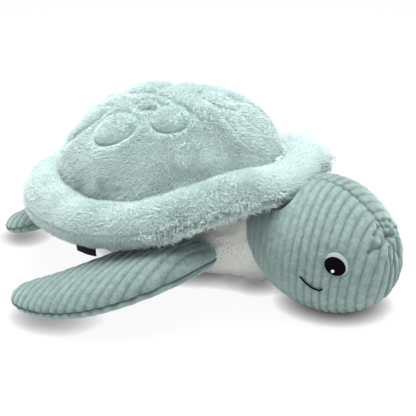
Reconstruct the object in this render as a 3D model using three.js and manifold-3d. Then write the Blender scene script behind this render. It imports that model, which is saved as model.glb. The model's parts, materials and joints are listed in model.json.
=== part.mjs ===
// Plush turtle: a stuffed toy with a fur shell, a corduroy head and four corduroy flippers.
// Millimetres, +X towards the head, +Y to the turtle's left, +Z up.
import * as THREE from 'three';
import { mergeVertices } from 'three/addons/utils/BufferGeometryUtils.js';
import Module from 'manifold-3d';

const wasm = await Module();
wasm.setup();

// Cloth and sewing
const furWall = 6;
const corduroyWall = 4;
const sewingGap = 0.35;
const seamGap = 0.7;
const socketGap = 1.6;
const flipperPlay = 0.7;
const threadRadius = 0.8;

// Shell rim, a stuffed tube bent round an oval
const rimForward = 6;
const rimHalfLength = 132;
const rimHalfWidth = 121;
const rimHeight = 90;
const rimFrontRise = 20;
const rimEndRise = 8;
const rimTubeHalfWidth = 27;
const rimTubeHalfHeight = 20.5;

// Dome of the shell
const domeForward = 0;
const domeHalfLength = 121;
const domeHalfWidth = 98;
const domeSeatRise = 14.5;
const domeRise = 80;
const domeTopBack = 12;
const domeUnderDepth = 26;
const domeRoundnessShare = 1.85;

// Belly, a bowl below the shell
const bellyForward = 8;
const bellyHalfLength = 146;
const bellyHalfWidth = 84;
const bellyHeight = 56;
const bellyTopRise = 34;
const bellyShoulderShare = 0.35;
const floorCut = 0.5;

// Neck ball at the front of the body, on which the head turns
const neckForward = 105;
const neckHeight = 60;
const neckRadius = 56;
const neckPlay = 3;
const neckTapeWidth = 9;
const neckTapeThickness = 1.3;
const neckTapeForward = 40;

// Head, an egg that slopes down to the nose
const headForward = 174;
const headHeight = 63.5;
const headHalfLength = 84;
const headHalfWidth = 69;
const headHalfHeight = 61;
const headSlopeDegrees = 27;
const headRoom = 5;
const headRimRoom = 3;
const headLiftDegrees = 5;
const headTurnDegrees = 12;

// Embroidery on the head
const eyeForward = 218;
const eyeHeight = 68.9;
const eyeHalfLength = 11;
const eyeHalfHeight = 10.8;
const pupilHalfLength = 9.9;
const pupilHalfHeight = 8.3;
const pupilBack = 1.7;
const pupilDrop = 2.6;
const glintRadius = 1.4;
const glintBack = 2.9;
const glintDrop = 6.7;
const stitchDepth = 0.8;
const smileForward = 197.2;
const smileHeight = 41.5;
const smileHalfLength = 10;
const smileRise = 12;

// Front flippers
const frontShoulderForward = 66;
const frontShoulderOut = 91;
const frontShoulderHeight = 44;
const frontShoulderRadius = 31;
const frontReach = 162;
const frontHalfWidth = 49;
const frontRootHalfThickness = 25;
const frontTipHalfThickness = 25;
const frontTipHeight = 26;
const frontHeadingDegrees = -107;
const frontBendDegrees = -78;
const frontSweepDegrees = 70;

// Rear flippers
const rearShoulderForward = -114;
const rearShoulderOut = 33;
const rearShoulderHeight = 33;
const rearShoulderHalfWidth = 22;
const rearReach = 73;
const rearHalfWidth = 32;
const rearRootHalfThickness = 17;
const rearTipHalfThickness = 18;
const rearTipHeight = 21;
const rearHeadingDegrees = -172;
const rearBendDegrees = 6;
const rearLiftDegrees = 12;

// How a flipper swells and droops along its length
const flipperSpacingShare = 1.2;
const flipperSwellShare = 1.7;
const flipperThinningShare = 1.5;
const flipperTipShare = 3;

// Quilted ovals of the dome, placed as shares of its half length and half width, each turned by some degrees
const ovalShares = [
  { forward: -0.58, out: 0, length: 0.16, width: 0.14, turnDegrees: 0 },
  { forward: -0.1, out: 0, length: 0.23, width: 0.165, turnDegrees: 0 },
  { forward: 0.56, out: 0, length: 0.18, width: 0.125, turnDegrees: 0 },
  { forward: -0.46, out: -0.44, length: 0.19, width: 0.11, turnDegrees: 18 },
  { forward: -0.1, out: -0.61, length: 0.21, width: 0.155, turnDegrees: 0 },
  { forward: 0.38, out: -0.475, length: 0.2, width: 0.15, turnDegrees: 0 },
  { forward: -0.46, out: 0.44, length: 0.19, width: 0.11, turnDegrees: -18 },
  { forward: -0.1, out: 0.61, length: 0.21, width: 0.155, turnDegrees: 0 },
  { forward: 0.38, out: 0.475, length: 0.2, width: 0.15, turnDegrees: 0 },
];

// Side label, a folded ribbon sewn in under the rim
const labelForward = -22;
const labelOut = 112;
const labelWidth = 24;
const labelDrop = 18;
const labelThickness = 1.2;

// Mesh fineness
const bodyTurns = 22;
const bodyRings = 10;
const liningTurns = 14;
const liningRings = 8;
const rimTurns = 26;
const rimSides = 4;
const neckTurns = 18;
const neckRings = 12;
const headTurns = 20;
const headRings = 12;
const flipperTurns = 12;
const flipperRings = 9;
const socketTurns = 14;
const socketRings = 9;
const discTurns = 10;
const ovalSteps = 12;
const threadSides = 3;
const smileSteps = 6;
const smileSides = 5;
const domeSearchSteps = 12;
const travelSteps = 6;
const weldLimit = 1e-4;

const degrees = THREE.MathUtils.degToRad;
const turtle = new THREE.Group();

// Materials
const mint = 0xa9cdc6;
const corduroyMint = 0x94bdb4;
const warmWhite = 0xe6e3dd;
const fillingWhite = 0xf4f3ee;
const eyeWhite = 0xd9dcdc;
const pupilBlack = 0x0c0a10;
const glintWhite = 0xf6f6f6;
const smileBlack = 0x1c2326;
const ribbonBlack = 0x141416;
const fur = () => new THREE.MeshStandardMaterial({ color: mint, roughness: 0.95, metalness: 0 });
const corduroy = () => new THREE.MeshStandardMaterial({ color: corduroyMint, roughness: 0.9, metalness: 0 });
const whiteFur = () => new THREE.MeshStandardMaterial({ color: warmWhite, roughness: 0.95, metalness: 0 });
const stuffing = () => new THREE.MeshStandardMaterial({ color: fillingWhite, roughness: 1, metalness: 0 });
const thread = (color) => new THREE.MeshStandardMaterial({ color, roughness: 0.6, metalness: 0 });

// A unit sphere to shape: fine outside, coarser for the stuffing and the inside of its cover
function ballFor(inset, turns, rings) {
  const lining = inset > 0;
  return new THREE.SphereGeometry(1, lining ? liningTurns : turns, lining ? liningRings : rings);
}

// Gives each vertex of a three.js geometry its place by a function, and joins the doubles
function shaped(geometry, place) {
  const position = geometry.attributes.position;
  const point = new THREE.Vector3();
  for (let i = 0; i < position.count; i += 1) {
    point.fromBufferAttribute(position, i);
    place(point);
    position.setXYZ(i, point.x, point.y, point.z);
  }
  return bare(geometry);
}

function bare(geometry) {
  geometry.deleteAttribute('normal');
  geometry.deleteAttribute('uv');
  return mergeVertices(geometry, weldLimit);
}

function solidOf(geometry) {
  const vertProperties = new Float32Array(geometry.attributes.position.array);
  const triVerts = new Uint32Array(geometry.index.array);
  return new wasm.Manifold(new wasm.Mesh({ numProp: 3, vertProperties, triVerts }));
}

function geometryOf(solid) {
  const mesh = solid.getMesh();
  const geometry = new THREE.BufferGeometry();
  geometry.setAttribute('position', new THREE.BufferAttribute(new Float32Array(mesh.vertProperties), 3));
  geometry.setIndex(new THREE.BufferAttribute(new Uint32Array(mesh.triVerts), 1));
  geometry.computeVertexNormals();
  return geometry;
}

function moved(solid, matrix) {
  return solid.transform(Array.from(matrix.elements));
}

function addPiece(name, solid, material) {
  const piece = new THREE.Mesh(geometryOf(solid), material);
  piece.name = name;
  turtle.add(piece);
}

// A turn by so many degrees about an axis through a point
function turnedAbout(point, axis, angle) {
  const there = new THREE.Matrix4().makeTranslation(point.x, point.y, point.z);
  const back = there.clone().invert();
  const turn = new THREE.Matrix4().makeRotationAxis(axis, degrees(angle));
  return there.multiply(turn).multiply(back);
}

// A half space as a large box, whose face lies on a plane through the point
function halfSpace(point, normal) {
  const reach = 4 * rimHalfLength;
  const box = new THREE.BoxGeometry(reach, reach, reach);
  box.translate(0, 0, reach / 2);
  const turn = new THREE.Quaternion().setFromUnitVectors(new THREE.Vector3(0, 0, 1), normal.clone().normalize());
  box.applyQuaternion(turn);
  box.translate(point.x, point.y, point.z);
  return solidOf(bare(box));
}

const upAxis = new THREE.Vector3(0, 0, 1);
const acrossAxis = new THREE.Vector3(0, 1, 0);
const liftAxis = new THREE.Vector3(0, -1, 0);
const middle = new THREE.Vector3(0, 0, 0);
const neckCentre = new THREE.Vector3(neckForward, 0, neckHeight);
const aboveFloor = halfSpace(middle, upAxis);
const mirrorAcross = new THREE.Matrix4().makeScale(1, -1, 1);
const asMade = new THREE.Matrix4();

// Height of the rim's centre line at an angle round the shell, 0 at the head
function rimLineHeight(angle) {
  return rimHeight + rimFrontRise * Math.cos(angle) + rimEndRise * Math.cos(2 * angle);
}

// The dome and the shallow underside of the shell, drawn in by the inset
function shellSolid(inset) {
  const roundness = 2 / domeRoundnessShare;
  const geometry = shaped(ballFor(inset, bodyTurns, bodyRings), (p) => {
    const around = Math.atan2(-p.z, p.x);
    const across = Math.hypot(p.x, p.z);
    const spread = p.y > 0 ? across ** roundness : across;
    const lift = p.y > 0 ? p.y ** roundness : -p.y;
    const seat = rimHeight + domeSeatRise + (rimLineHeight(around) - rimHeight) * spread;
    const rise = p.y > 0 ? (domeRise - inset) * lift : -(domeUnderDepth - inset) * lift;
    const back = p.y > 0 ? domeTopBack * lift : 0;
    const x = domeForward + (domeHalfLength - inset) * Math.cos(around) * spread - back;
    const y = (domeHalfWidth - inset) * Math.sin(around) * spread;
    p.set(x, y, seat + rise);
  });
  return solidOf(geometry);
}

// The bowl of the belly, whose flat top lies inside the shell
function bellySolid(inset) {
  const geometry = shaped(ballFor(inset, bodyTurns, bodyRings), (p) => {
    const across = Math.hypot(p.x, p.z);
    const around = Math.atan2(-p.z, p.x);
    const spread = p.y > 0 ? across ** bellyShoulderShare : across;
    const rise = p.y > 0 ? (bellyTopRise - inset) * p.y : (bellyHeight + floorCut - inset) * p.y;
    p.set(
      bellyForward + (bellyHalfLength - inset) * Math.cos(around) * spread,
      (bellyHalfWidth - inset) * Math.sin(around) * spread,
      bellyHeight + rise,
    );
  });
  return solidOf(geometry);
}

function neckBallSolid(inset) {
  const ball = new THREE.SphereGeometry(neckRadius - inset, neckTurns, neckRings);
  ball.rotateZ(Math.PI / 2);
  ball.translate(neckCentre.x, neckCentre.y, neckCentre.z);
  return solidOf(bare(ball));
}

function trunkSolid(inset) {
  return shellSolid(inset).add(bellySolid(inset));
}

function bodySolid(inset) {
  return trunkSolid(inset).add(neckBallSolid(inset));
}

// A closed ring: a section of so many points, each carried round in so many steps
function ringSolid(sectionPoints, steps, place) {
  const torus = new THREE.TorusGeometry(2, 1, sectionPoints, steps);
  const position = torus.attributes.position;
  for (let j = 0; j <= sectionPoints; j += 1) {
    for (let i = 0; i <= steps; i += 1) {
      const angle = ((i % steps) / steps) * Math.PI * 2;
      const point = place(j % sectionPoints, angle);
      position.setXYZ(j * (steps + 1) + i, point.x, point.y, point.z);
    }
  }
  return solidOf(bare(torus));
}

// A ring of the rim, whose section is given as distances out from and up from its centre line
function rimRing(section) {
  return ringSolid(section.length, rimTurns, (j, angle) => {
    const [out, up] = section[j];
    return new THREE.Vector3(
      rimForward + (rimHalfLength + out) * Math.cos(angle),
      (rimHalfWidth + out) * Math.sin(angle),
      rimLineHeight(angle) + up,
    );
  });
}

// An arc of the rim's oval section, from one angle to another in degrees
function rimArc(inset, fromDegrees, toDegrees, steps) {
  const points = [];
  for (let k = 0; k <= steps; k += 1) {
    const angle = degrees(fromDegrees + ((toDegrees - fromDegrees) * k) / steps);
    points.push([
      (rimTubeHalfWidth - inset) * Math.cos(angle),
      (rimTubeHalfHeight - inset) * Math.sin(angle),
    ]);
  }
  return points;
}

// Upper or lower half of the rim's skin, open towards its stuffing
function rimSkin(side) {
  const lift = (side * sewingGap) / 2;
  const outer = rimArc(0, 0, side * 180, rimSides);
  const inner = rimArc(furWall, side * 180, 0, rimSides);
  const section = [...outer, ...inner].map(([out, up]) => [out, up + lift]);
  return rimRing(side > 0 ? section : section.reverse());
}

function rimCore(inset) {
  const sides = 2 * rimSides;
  return rimRing(rimArc(inset, 0, 360 - 360 / sides, sides - 1));
}

// Head
const headSlope = new THREE.Euler(0, degrees(headSlopeDegrees), 0);

function headEgg(inset) {
  const geometry = shaped(ballFor(inset, headTurns, headRings), (p) => {
    p.set(
      -(headHalfLength - inset) * p.y,
      (headHalfWidth - inset) * p.x,
      (headHalfHeight - inset) * p.z,
    );
    p.applyEuler(headSlope);
    p.add(new THREE.Vector3(headForward, 0, headHeight));
  });
  return solidOf(geometry);
}

// Place on the head's skin, straight out to the side from a point of its middle plane
function headSkinPoint(forward, height, side, proud) {
  const local = new THREE.Vector3(forward - headForward, 0, height - headHeight);
  local.applyEuler(new THREE.Euler(0, -degrees(headSlopeDegrees), 0));
  const along = local.x / (headHalfLength + proud);
  const up = local.z / (headHalfHeight + proud);
  const out = (headHalfWidth + proud) * Math.sqrt(Math.max(0, 1 - along * along - up * up));
  return new THREE.Vector3(forward, side * out, height);
}

// What the head stays clear of, at rest and at the ends of its lift and its turn
function headKeepOut() {
  const rim = rimCore(-headRimRoom);
  let room = neckBallSolid(-neckPlay).add(trunkSolid(-headRoom));
  for (const lift of [0, headLiftDegrees]) {
    for (const turn of [-headTurnDegrees, 0, headTurnDegrees]) {
      const backFromLift = turnedAbout(neckCentre, liftAxis, -lift);
      const backFromTurn = turnedAbout(neckCentre, upAxis, -turn);
      room = room.add(moved(rim, backFromTurn.multiply(backFromLift)));
    }
  }
  return room;
}

// A flipper for the turtle's right side, with a round root centred on its shoulder
function flipperSolid(f, inset, cover) {
  const geometry = shaped(new THREE.SphereGeometry(1, flipperTurns, flipperRings), (p) => {
    const along = -p.y;
    const ring = Math.hypot(p.x, p.z);
    const inRoot = along < 0;
    const share = inRoot ? 0 : along ** flipperSpacingShare;
    const distance = inRoot ? along * (f.rootLength - inset) : share * (f.reach - inset);
    const swell = Math.sin(Math.min(1, share * flipperSwellShare) * (Math.PI / 2));
    const tip = Math.sqrt(Math.max(0, 1 - share ** flipperTipShare));
    const width = inRoot
      ? (f.rootHalfWidth - inset) * ring
      : (f.rootHalfWidth + (f.halfWidth - f.rootHalfWidth) * swell - inset) * tip;
    const thinning = (f.tipHalfThickness - f.rootHalfThickness) * share ** flipperThinningShare;
    const thickness = inRoot
      ? (f.rootHalfThickness - inset) * ring
      : (f.rootHalfThickness + thinning - inset) * tip;
    const bend = degrees(f.bendDegrees);
    const heading = degrees(f.headingDegrees);
    const turn = bend * share;
    const radius = f.reach / bend;
    const line = new THREE.Vector2(
      inRoot ? distance : radius * Math.sin(distance / radius),
      inRoot ? 0 : radius * (1 - Math.cos(distance / radius)),
    );
    const sideways = ring > 0 ? p.x / ring : 0;
    const upwards = ring > 0 ? p.z / ring : 0;
    const flat = new THREE.Vector2(-Math.sin(turn), Math.cos(turn)).multiplyScalar(width * sideways);
    line.add(flat).rotateAround(new THREE.Vector2(0, 0), heading);
    const fall = (1 - Math.cos(Math.PI * share)) / 2;
    const height = f.shoulder.z + (f.tipHeight - f.shoulder.z) * fall;
    p.set(f.shoulder.x + line.x, f.shoulder.y + line.y, height + cover(thickness * upwards));
  });
  return solidOf(geometry);
}

const frontFlipper = {
  shoulder: new THREE.Vector3(frontShoulderForward, -frontShoulderOut, frontShoulderHeight),
  rootLength: frontShoulderRadius,
  rootHalfWidth: frontShoulderRadius,
  halfWidth: frontHalfWidth,
  reach: frontReach,
  rootHalfThickness: frontRootHalfThickness,
  tipHalfThickness: frontTipHalfThickness,
  tipHeight: frontTipHeight,
  headingDegrees: frontHeadingDegrees,
  bendDegrees: frontBendDegrees,
  axis: new THREE.Vector3(0, 0, 1),
  travelDegrees: frontSweepDegrees,
};

const rearFlipper = {
  shoulder: new THREE.Vector3(rearShoulderForward, -rearShoulderOut, rearShoulderHeight),
  rootLength: rearRootHalfThickness,
  rootHalfWidth: rearShoulderHalfWidth,
  halfWidth: rearHalfWidth,
  reach: rearReach,
  rootHalfThickness: rearRootHalfThickness,
  tipHalfThickness: rearTipHalfThickness,
  tipHeight: rearTipHeight,
  headingDegrees: rearHeadingDegrees,
  bendDegrees: rearBendDegrees,
  axis: new THREE.Vector3(Math.sin(degrees(rearHeadingDegrees)), -Math.cos(degrees(rearHeadingDegrees)), 0),
  travelDegrees: rearLiftDegrees,
};

function planeHalf(point, normal, side) {
  const facing = normal.clone().normalize().multiplyScalar(side);
  const edge = point.clone().addScaledVector(facing, sewingGap / 2);
  return halfSpace(edge, facing);
}

// The body's hollow for a flipper's round root
function socketSolid(f) {
  const socket = new THREE.SphereGeometry(1, socketTurns, socketRings);
  socket.rotateZ(Math.PI / 2);
  socket.scale(
    f.rootLength + socketGap,
    f.rootHalfWidth + socketGap,
    f.rootHalfThickness + socketGap,
  );
  socket.rotateZ(degrees(f.headingDegrees));
  socket.translate(f.shoulder.x, f.shoulder.y, f.shoulder.z);
  const right = solidOf(bare(socket));
  return right.add(moved(right, mirrorAcross));
}

// Body: dome cover, belly cover and the stuffing that they hold
function addBody() {
  const sockets = socketSolid(frontFlipper).add(socketSolid(rearFlipper));
  const rimPlane = new THREE.Vector3(-rimFrontRise / rimHalfLength, 0, 1);
  const rimMiddle = new THREE.Vector3(rimForward, 0, rimHeight);
  const skin = bodySolid(0).subtract(bodySolid(furWall)).subtract(sockets).intersect(aboveFloor);
  const core = bodySolid(furWall + sewingGap).subtract(sockets);
  addPiece('shell_dome_cover', skin.intersect(planeHalf(rimMiddle, rimPlane, 1)), fur());
  addPiece('belly_cover', skin.intersect(planeHalf(rimMiddle, rimPlane, -1)), whiteFur());
  addPiece('body_stuffing', core, stuffing());
}

function addRim() {
  const room = bodySolid(-sewingGap).add(neckBallSolid(-neckPlay));
  addPiece('shell_rim_top_cover', rimSkin(1).subtract(room), fur());
  addPiece('shell_rim_under_cover', rimSkin(-1).subtract(room), fur());
  addPiece('rim_stuffing', rimCore(furWall + sewingGap).subtract(room), stuffing());
}

// A tape sewn round the neck ball, inside the head's open neck
function addNeckTape() {
  const inner = neckRadius + 2 * sewingGap;
  const outer = inner + neckTapeThickness;
  const back = neckTapeForward - neckTapeWidth / 2;
  const front = neckTapeForward + neckTapeWidth / 2;
  const corner = (radius, forward) => new THREE.Vector2(Math.sqrt(radius ** 2 - forward ** 2), forward);
  const section = [
    corner(inner, front),
    corner(inner, back),
    corner(outer, back),
    corner(outer, front),
  ];
  const tape = ringSolid(section.length, neckTurns, (j, angle) => new THREE.Vector3(
    neckForward + section[j].y,
    section[j].x * Math.cos(angle),
    neckHeight + section[j].x * Math.sin(angle),
  ));
  addPiece('neck_tape', tape, whiteFur());
}

function addHead() {
  const keepOut = headKeepOut();
  const skin = headEgg(0).subtract(headEgg(corduroyWall)).subtract(keepOut).intersect(aboveFloor);
  const core = headEgg(corduroyWall + sewingGap).subtract(keepOut);
  addPiece('head_cover_right', skin.intersect(planeHalf(middle, acrossAxis, -1)), corduroy());
  addPiece('head_cover_left', skin.intersect(planeHalf(middle, acrossAxis, 1)), corduroy());
  addPiece('head_stuffing', core, stuffing());
}

// An embroidered disc on the head's skin, in the layer that starts so far above it
function embroideredDisc(forward, height, halfLength, halfHeight, layer, side) {
  const centre = headSkinPoint(forward, height, side, layer);
  const ahead = headSkinPoint(forward + halfLength, height, side, layer).sub(centre).normalize();
  const above = headSkinPoint(forward, height + halfHeight, side, layer).sub(centre).normalize();
  const out = ahead.clone().cross(above).normalize().multiplyScalar(-side);
  const disc = new THREE.CylinderGeometry(1, 1, 1, discTurns);
  disc.scale(halfLength, 2 * halfHeight, halfHeight);
  const upright = out.clone().cross(ahead).normalize();
  disc.applyMatrix4(new THREE.Matrix4().makeBasis(ahead, out, upright.negate()));
  disc.translate(centre.x, centre.y, centre.z);
  return solidOf(bare(disc)).intersect(headEgg(-layer - stitchDepth).subtract(headEgg(-layer)));
}

function smileSolid(side) {
  const points = [];
  for (let k = 0; k <= smileSteps; k += 1) {
    const share = (2 * k) / smileSteps - 1;
    const height = smileHeight + smileRise * ((1 - share) / 2) ** 2;
    points.push(headSkinPoint(smileForward + smileHalfLength * share, height, side, threadRadius));
  }
  const outline = new THREE.Shape().absarc(0, 0, threadRadius, 0, Math.PI * 2);
  const extrudePath = new THREE.CatmullRomCurve3(points);
  const tube = new THREE.ExtrudeGeometry(outline, {
    steps: smileSteps, extrudePath, curveSegments: smileSides, bevelEnabled: false,
  });
  return solidOf(bare(tube)).subtract(headEgg(-sewingGap));
}

function addFace(name, side) {
  const whiteLayer = sewingGap;
  const pupilLayer = whiteLayer + stitchDepth + sewingGap;
  const glintLayer = pupilLayer + stitchDepth + sewingGap;
  const white = embroideredDisc(eyeForward, eyeHeight, eyeHalfLength, eyeHalfHeight, whiteLayer, side);
  const pupil = embroideredDisc(
    eyeForward - pupilBack, eyeHeight - pupilDrop, pupilHalfLength, pupilHalfHeight, pupilLayer, side,
  );
  const glint = embroideredDisc(
    eyeForward - glintBack, eyeHeight - glintDrop, glintRadius, glintRadius, glintLayer, side,
  );
  addPiece(`eye_white_${name}`, white, thread(eyeWhite));
  addPiece(`pupil_${name}`, pupil, thread(pupilBlack));
  addPiece(`glint_${name}`, glint, thread(glintWhite));
  addPiece(`smile_${name}`, smileSolid(side), thread(smileBlack));
}

// What a flipper stays clear of, from its place at rest to the end of its travel
function trunkRoom(f) {
  const trunk = trunkSolid(-flipperPlay).subtract(socketSolid(f));
  let room = trunk;
  for (let k = 1; k <= travelSteps; k += 1) {
    const angle = (f.travelDegrees * k) / travelSteps;
    room = room.add(moved(trunk, turnedAbout(f.shoulder, f.axis, -angle)));
  }
  return room;
}

// A flipper of one side: upper cover, lower cover and stuffing, parted at the seam round its edge
function addFlipper(name, flipper, place) {
  const whole = (height) => height;
  const upper = (height) => Math.max(0, 2 * height) + seamGap / 2;
  const lower = (height) => Math.min(0, 2 * height) - seamGap / 2;
  const trunk = trunkRoom(flipper);
  const outer = flipperSolid(flipper, 0, whole).intersect(aboveFloor).subtract(trunk);
  const skin = outer.subtract(flipperSolid(flipper, corduroyWall, whole));
  const core = flipperSolid(flipper, corduroyWall + sewingGap, whole).subtract(trunk);
  const top = skin.intersect(flipperSolid(flipper, -sewingGap, upper));
  const bottom = skin.intersect(flipperSolid(flipper, -sewingGap, lower));
  addPiece(`${name}_top_cover`, moved(top, place), corduroy());
  addPiece(`${name}_bottom_cover`, moved(bottom, place), corduroy());
  addPiece(`${name}_stuffing`, moved(core, place), stuffing());
}

// Place on the dome over a point of the floor
function domePoint(x, y, proud) {
  let lift = 1;
  let across = 0;
  let around = 0;
  for (let k = 0; k < domeSearchSteps; k += 1) {
    const ahead = (x - domeForward + domeTopBack * lift) / (domeHalfLength + proud);
    const out = y / (domeHalfWidth + proud);
    across = Math.min(1, Math.hypot(ahead, out));
    around = Math.atan2(out, ahead);
    lift = (1 - across ** domeRoundnessShare) ** (1 / domeRoundnessShare);
  }
  const seat = rimHeight + domeSeatRise + (rimLineHeight(around) - rimHeight) * across;
  return new THREE.Vector3(x, y, seat + (domeRise + proud) * lift);
}

// A thread loop round one quilted oval of the dome
function ovalStitch(oval) {
  const loop = ringSolid(threadSides, ovalSteps, (j, angle) => {
    const aroundThread = (j / threadSides) * Math.PI * 2;
    const wider = threadRadius * Math.cos(aroundThread);
    const place = new THREE.Vector2(
      (oval.length * domeHalfLength + wider) * Math.cos(angle),
      (oval.width * domeHalfWidth + wider) * Math.sin(angle),
    );
    place.rotateAround(new THREE.Vector2(0, 0), degrees(oval.turnDegrees));
    const x = domeForward - domeTopBack + oval.forward * domeHalfLength + place.x;
    const y = oval.out * domeHalfWidth + place.y;
    return domePoint(x, y, threadRadius * (1 + Math.sin(aroundThread)));
  });
  return loop.subtract(shellSolid(-sewingGap));
}

// A folded ribbon under the rim, behind the right front flipper
function addSideLabel() {
  const ribbon = new THREE.BoxGeometry(labelWidth, labelThickness, labelDrop);
  const around = Math.atan2(-labelOut / rimHalfWidth, (labelForward - rimForward) / rimHalfLength);
  const under = rimLineHeight(around) - rimTubeHalfHeight;
  ribbon.translate(labelForward, -labelOut, under - labelDrop / 2);
  addPiece('side_label', solidOf(bare(ribbon)).subtract(rimCore(-sewingGap)), thread(ribbonBlack));
}

addBody();
addRim();
addNeckTape();
addHead();
addFace('right', -1);
addFace('left', 1);
addFlipper('front_flipper_right', frontFlipper, asMade);
addFlipper('front_flipper_left', frontFlipper, mirrorAcross);
addFlipper('rear_flipper_right', rearFlipper, asMade);
addFlipper('rear_flipper_left', rearFlipper, mirrorAcross);
ovalShares.forEach((oval, index) => {
  addPiece(`scute_stitch_${String(index + 1).padStart(2, '0')}`, ovalStitch(oval), thread(mint));
});
addSideLabel();

// The origin goes to the middle of the turtle's foot print, on the floor
const box = new THREE.Box3().setFromObject(turtle);
const centre = box.getCenter(new THREE.Vector3());
turtle.position.set(-centre.x, -centre.y, -box.min.z);

export default turtle;
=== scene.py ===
import json
import math

import bmesh
import bpy
import numpy as np
from bpy.props import FloatProperty, FloatVectorProperty, IntProperty, PointerProperty
from mathutils import Matrix, Vector
from mathutils.bvhtree import BVHTree
from mathutils.geometry import barycentric_transform


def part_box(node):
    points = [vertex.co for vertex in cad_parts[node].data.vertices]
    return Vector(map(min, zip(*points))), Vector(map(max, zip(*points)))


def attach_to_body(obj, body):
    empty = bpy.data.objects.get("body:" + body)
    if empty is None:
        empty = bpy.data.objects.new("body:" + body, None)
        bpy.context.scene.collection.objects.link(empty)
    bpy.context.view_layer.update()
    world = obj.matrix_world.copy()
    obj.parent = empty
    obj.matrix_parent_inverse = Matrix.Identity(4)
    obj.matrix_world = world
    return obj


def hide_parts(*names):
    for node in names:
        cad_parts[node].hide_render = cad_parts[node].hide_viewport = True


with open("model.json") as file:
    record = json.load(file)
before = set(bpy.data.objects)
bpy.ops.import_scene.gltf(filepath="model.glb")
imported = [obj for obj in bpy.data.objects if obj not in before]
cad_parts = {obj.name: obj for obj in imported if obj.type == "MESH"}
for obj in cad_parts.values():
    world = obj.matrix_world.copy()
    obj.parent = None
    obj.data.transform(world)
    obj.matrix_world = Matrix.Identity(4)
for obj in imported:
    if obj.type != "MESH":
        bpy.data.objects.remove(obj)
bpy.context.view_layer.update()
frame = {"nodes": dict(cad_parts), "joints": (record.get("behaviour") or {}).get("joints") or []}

bl_info = {
    "name": "Plush Turtle",
    "version": (1, 0, 0),
    "blender": (4, 5, 0),
    "location": "View3D > Sidebar > Turtle",
    "description": "Dresses a plush turtle in fur, corduroy and embroidery",
    "category": "Object",
}

MM = 0.001
JOINTS = {joint["name"]: joint for joint in frame["joints"]}
NECK = Vector(JOINTS["head_lift"]["pos_m"])
RIGHT = -1
LEFT = 1
SIDES = (("right", RIGHT), ("left", LEFT))


# Settings

def length(name, description, millimetres):
    """A size in metres, given in millimetres."""
    return FloatProperty(name=name, description=description, default=millimetres * MM, unit="LENGTH")


def share(name, description, value):
    return FloatProperty(name=name, description=description, default=value, subtype="FACTOR")


def count(name, description, number):
    return IntProperty(name=name, description=description, default=number)


def turn(name, description, angle):
    """An angle in radians, given in degrees."""
    return FloatProperty(name=name, description=description, default=math.radians(angle), subtype="ANGLE")


def colour(name, description, red, green, blue):
    return FloatVectorProperty(
        name=name, description=description, size=3, subtype="COLOR", default=(red, green, blue),
    )


class ClothSettings(bpy.types.PropertyGroup):
    """Colours and sizes of the cloths, the fur and the threads."""
    fur_colour: colour("Fur", "Colour of the shell's fur at its tips", 0.67, 0.8, 0.785)
    # Painted shade: the root colour is darker to stand in for the shade deep between the shell's tufts
    fur_root_shade: colour("Fur root", "Colour deep between the shell's tufts", 0.565, 0.71, 0.695)
    fur_sheen: colour("Fur sheen", "Colour of the soft shine of the shell's fur", 0.8, 0.79, 0.785)
    belly_sheen: colour("Belly sheen", "Colour of the soft shine of the belly's fur", 1, 1, 1)
    corduroy_colour: colour("Corduroy", "Colour on the crest of a wale", 0.23, 0.31, 0.295)
    # Painted shade: the groove colour is darker to stand in for the shade between the wales
    corduroy_groove_shade: colour("Corduroy groove", "Colour between two wales", 0.1, 0.15, 0.145)
    belly_colour: colour("Belly fur", "Colour of the belly's fur at its tips", 0.98, 0.98, 0.94)
    # Painted shade: the root colour is darker to stand in for the shade deep between the belly's tufts
    belly_root_shade: colour("Belly fur root", "Colour deep between the belly's tufts", 0.97, 0.97, 0.93)
    thread_colour: colour("Quilting thread", "Colour of the thread in the shell", 0.3, 0.5, 0.46)
    ribbon_colour: colour("Ribbon", "Colour of the side label's ribbon", 0.012, 0.012, 0.014)
    wale_depth: length("Wale depth", "Height of a wale over its groove", 2)
    seam_width: length("Seam width", "Half width of the valley at a seam", 1.6)
    seam_depth: length("Seam depth", "Depth of the valley at a seam", 1.4)
    pile_length: length("Pile length", "Length of the shell's tufts", 5.5)
    pile_width: length("Pile width", "Width of one of the shell's tufts", 1.25)
    clump_length: length("Clump length", "Length of the longer clumps beside the head", 7)
    clump_width: length("Clump width", "Width of such a clump", 2.6)
    belly_pile: length("Belly pile", "Length of the belly's tufts", 2)
    belly_pile_width: length("Belly pile width", "Width of one of the belly's tufts", 0.9)
    pile_sink: length("Pile sink", "How deep the cloth lies under the tips of its pile", 2.5)


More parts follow.
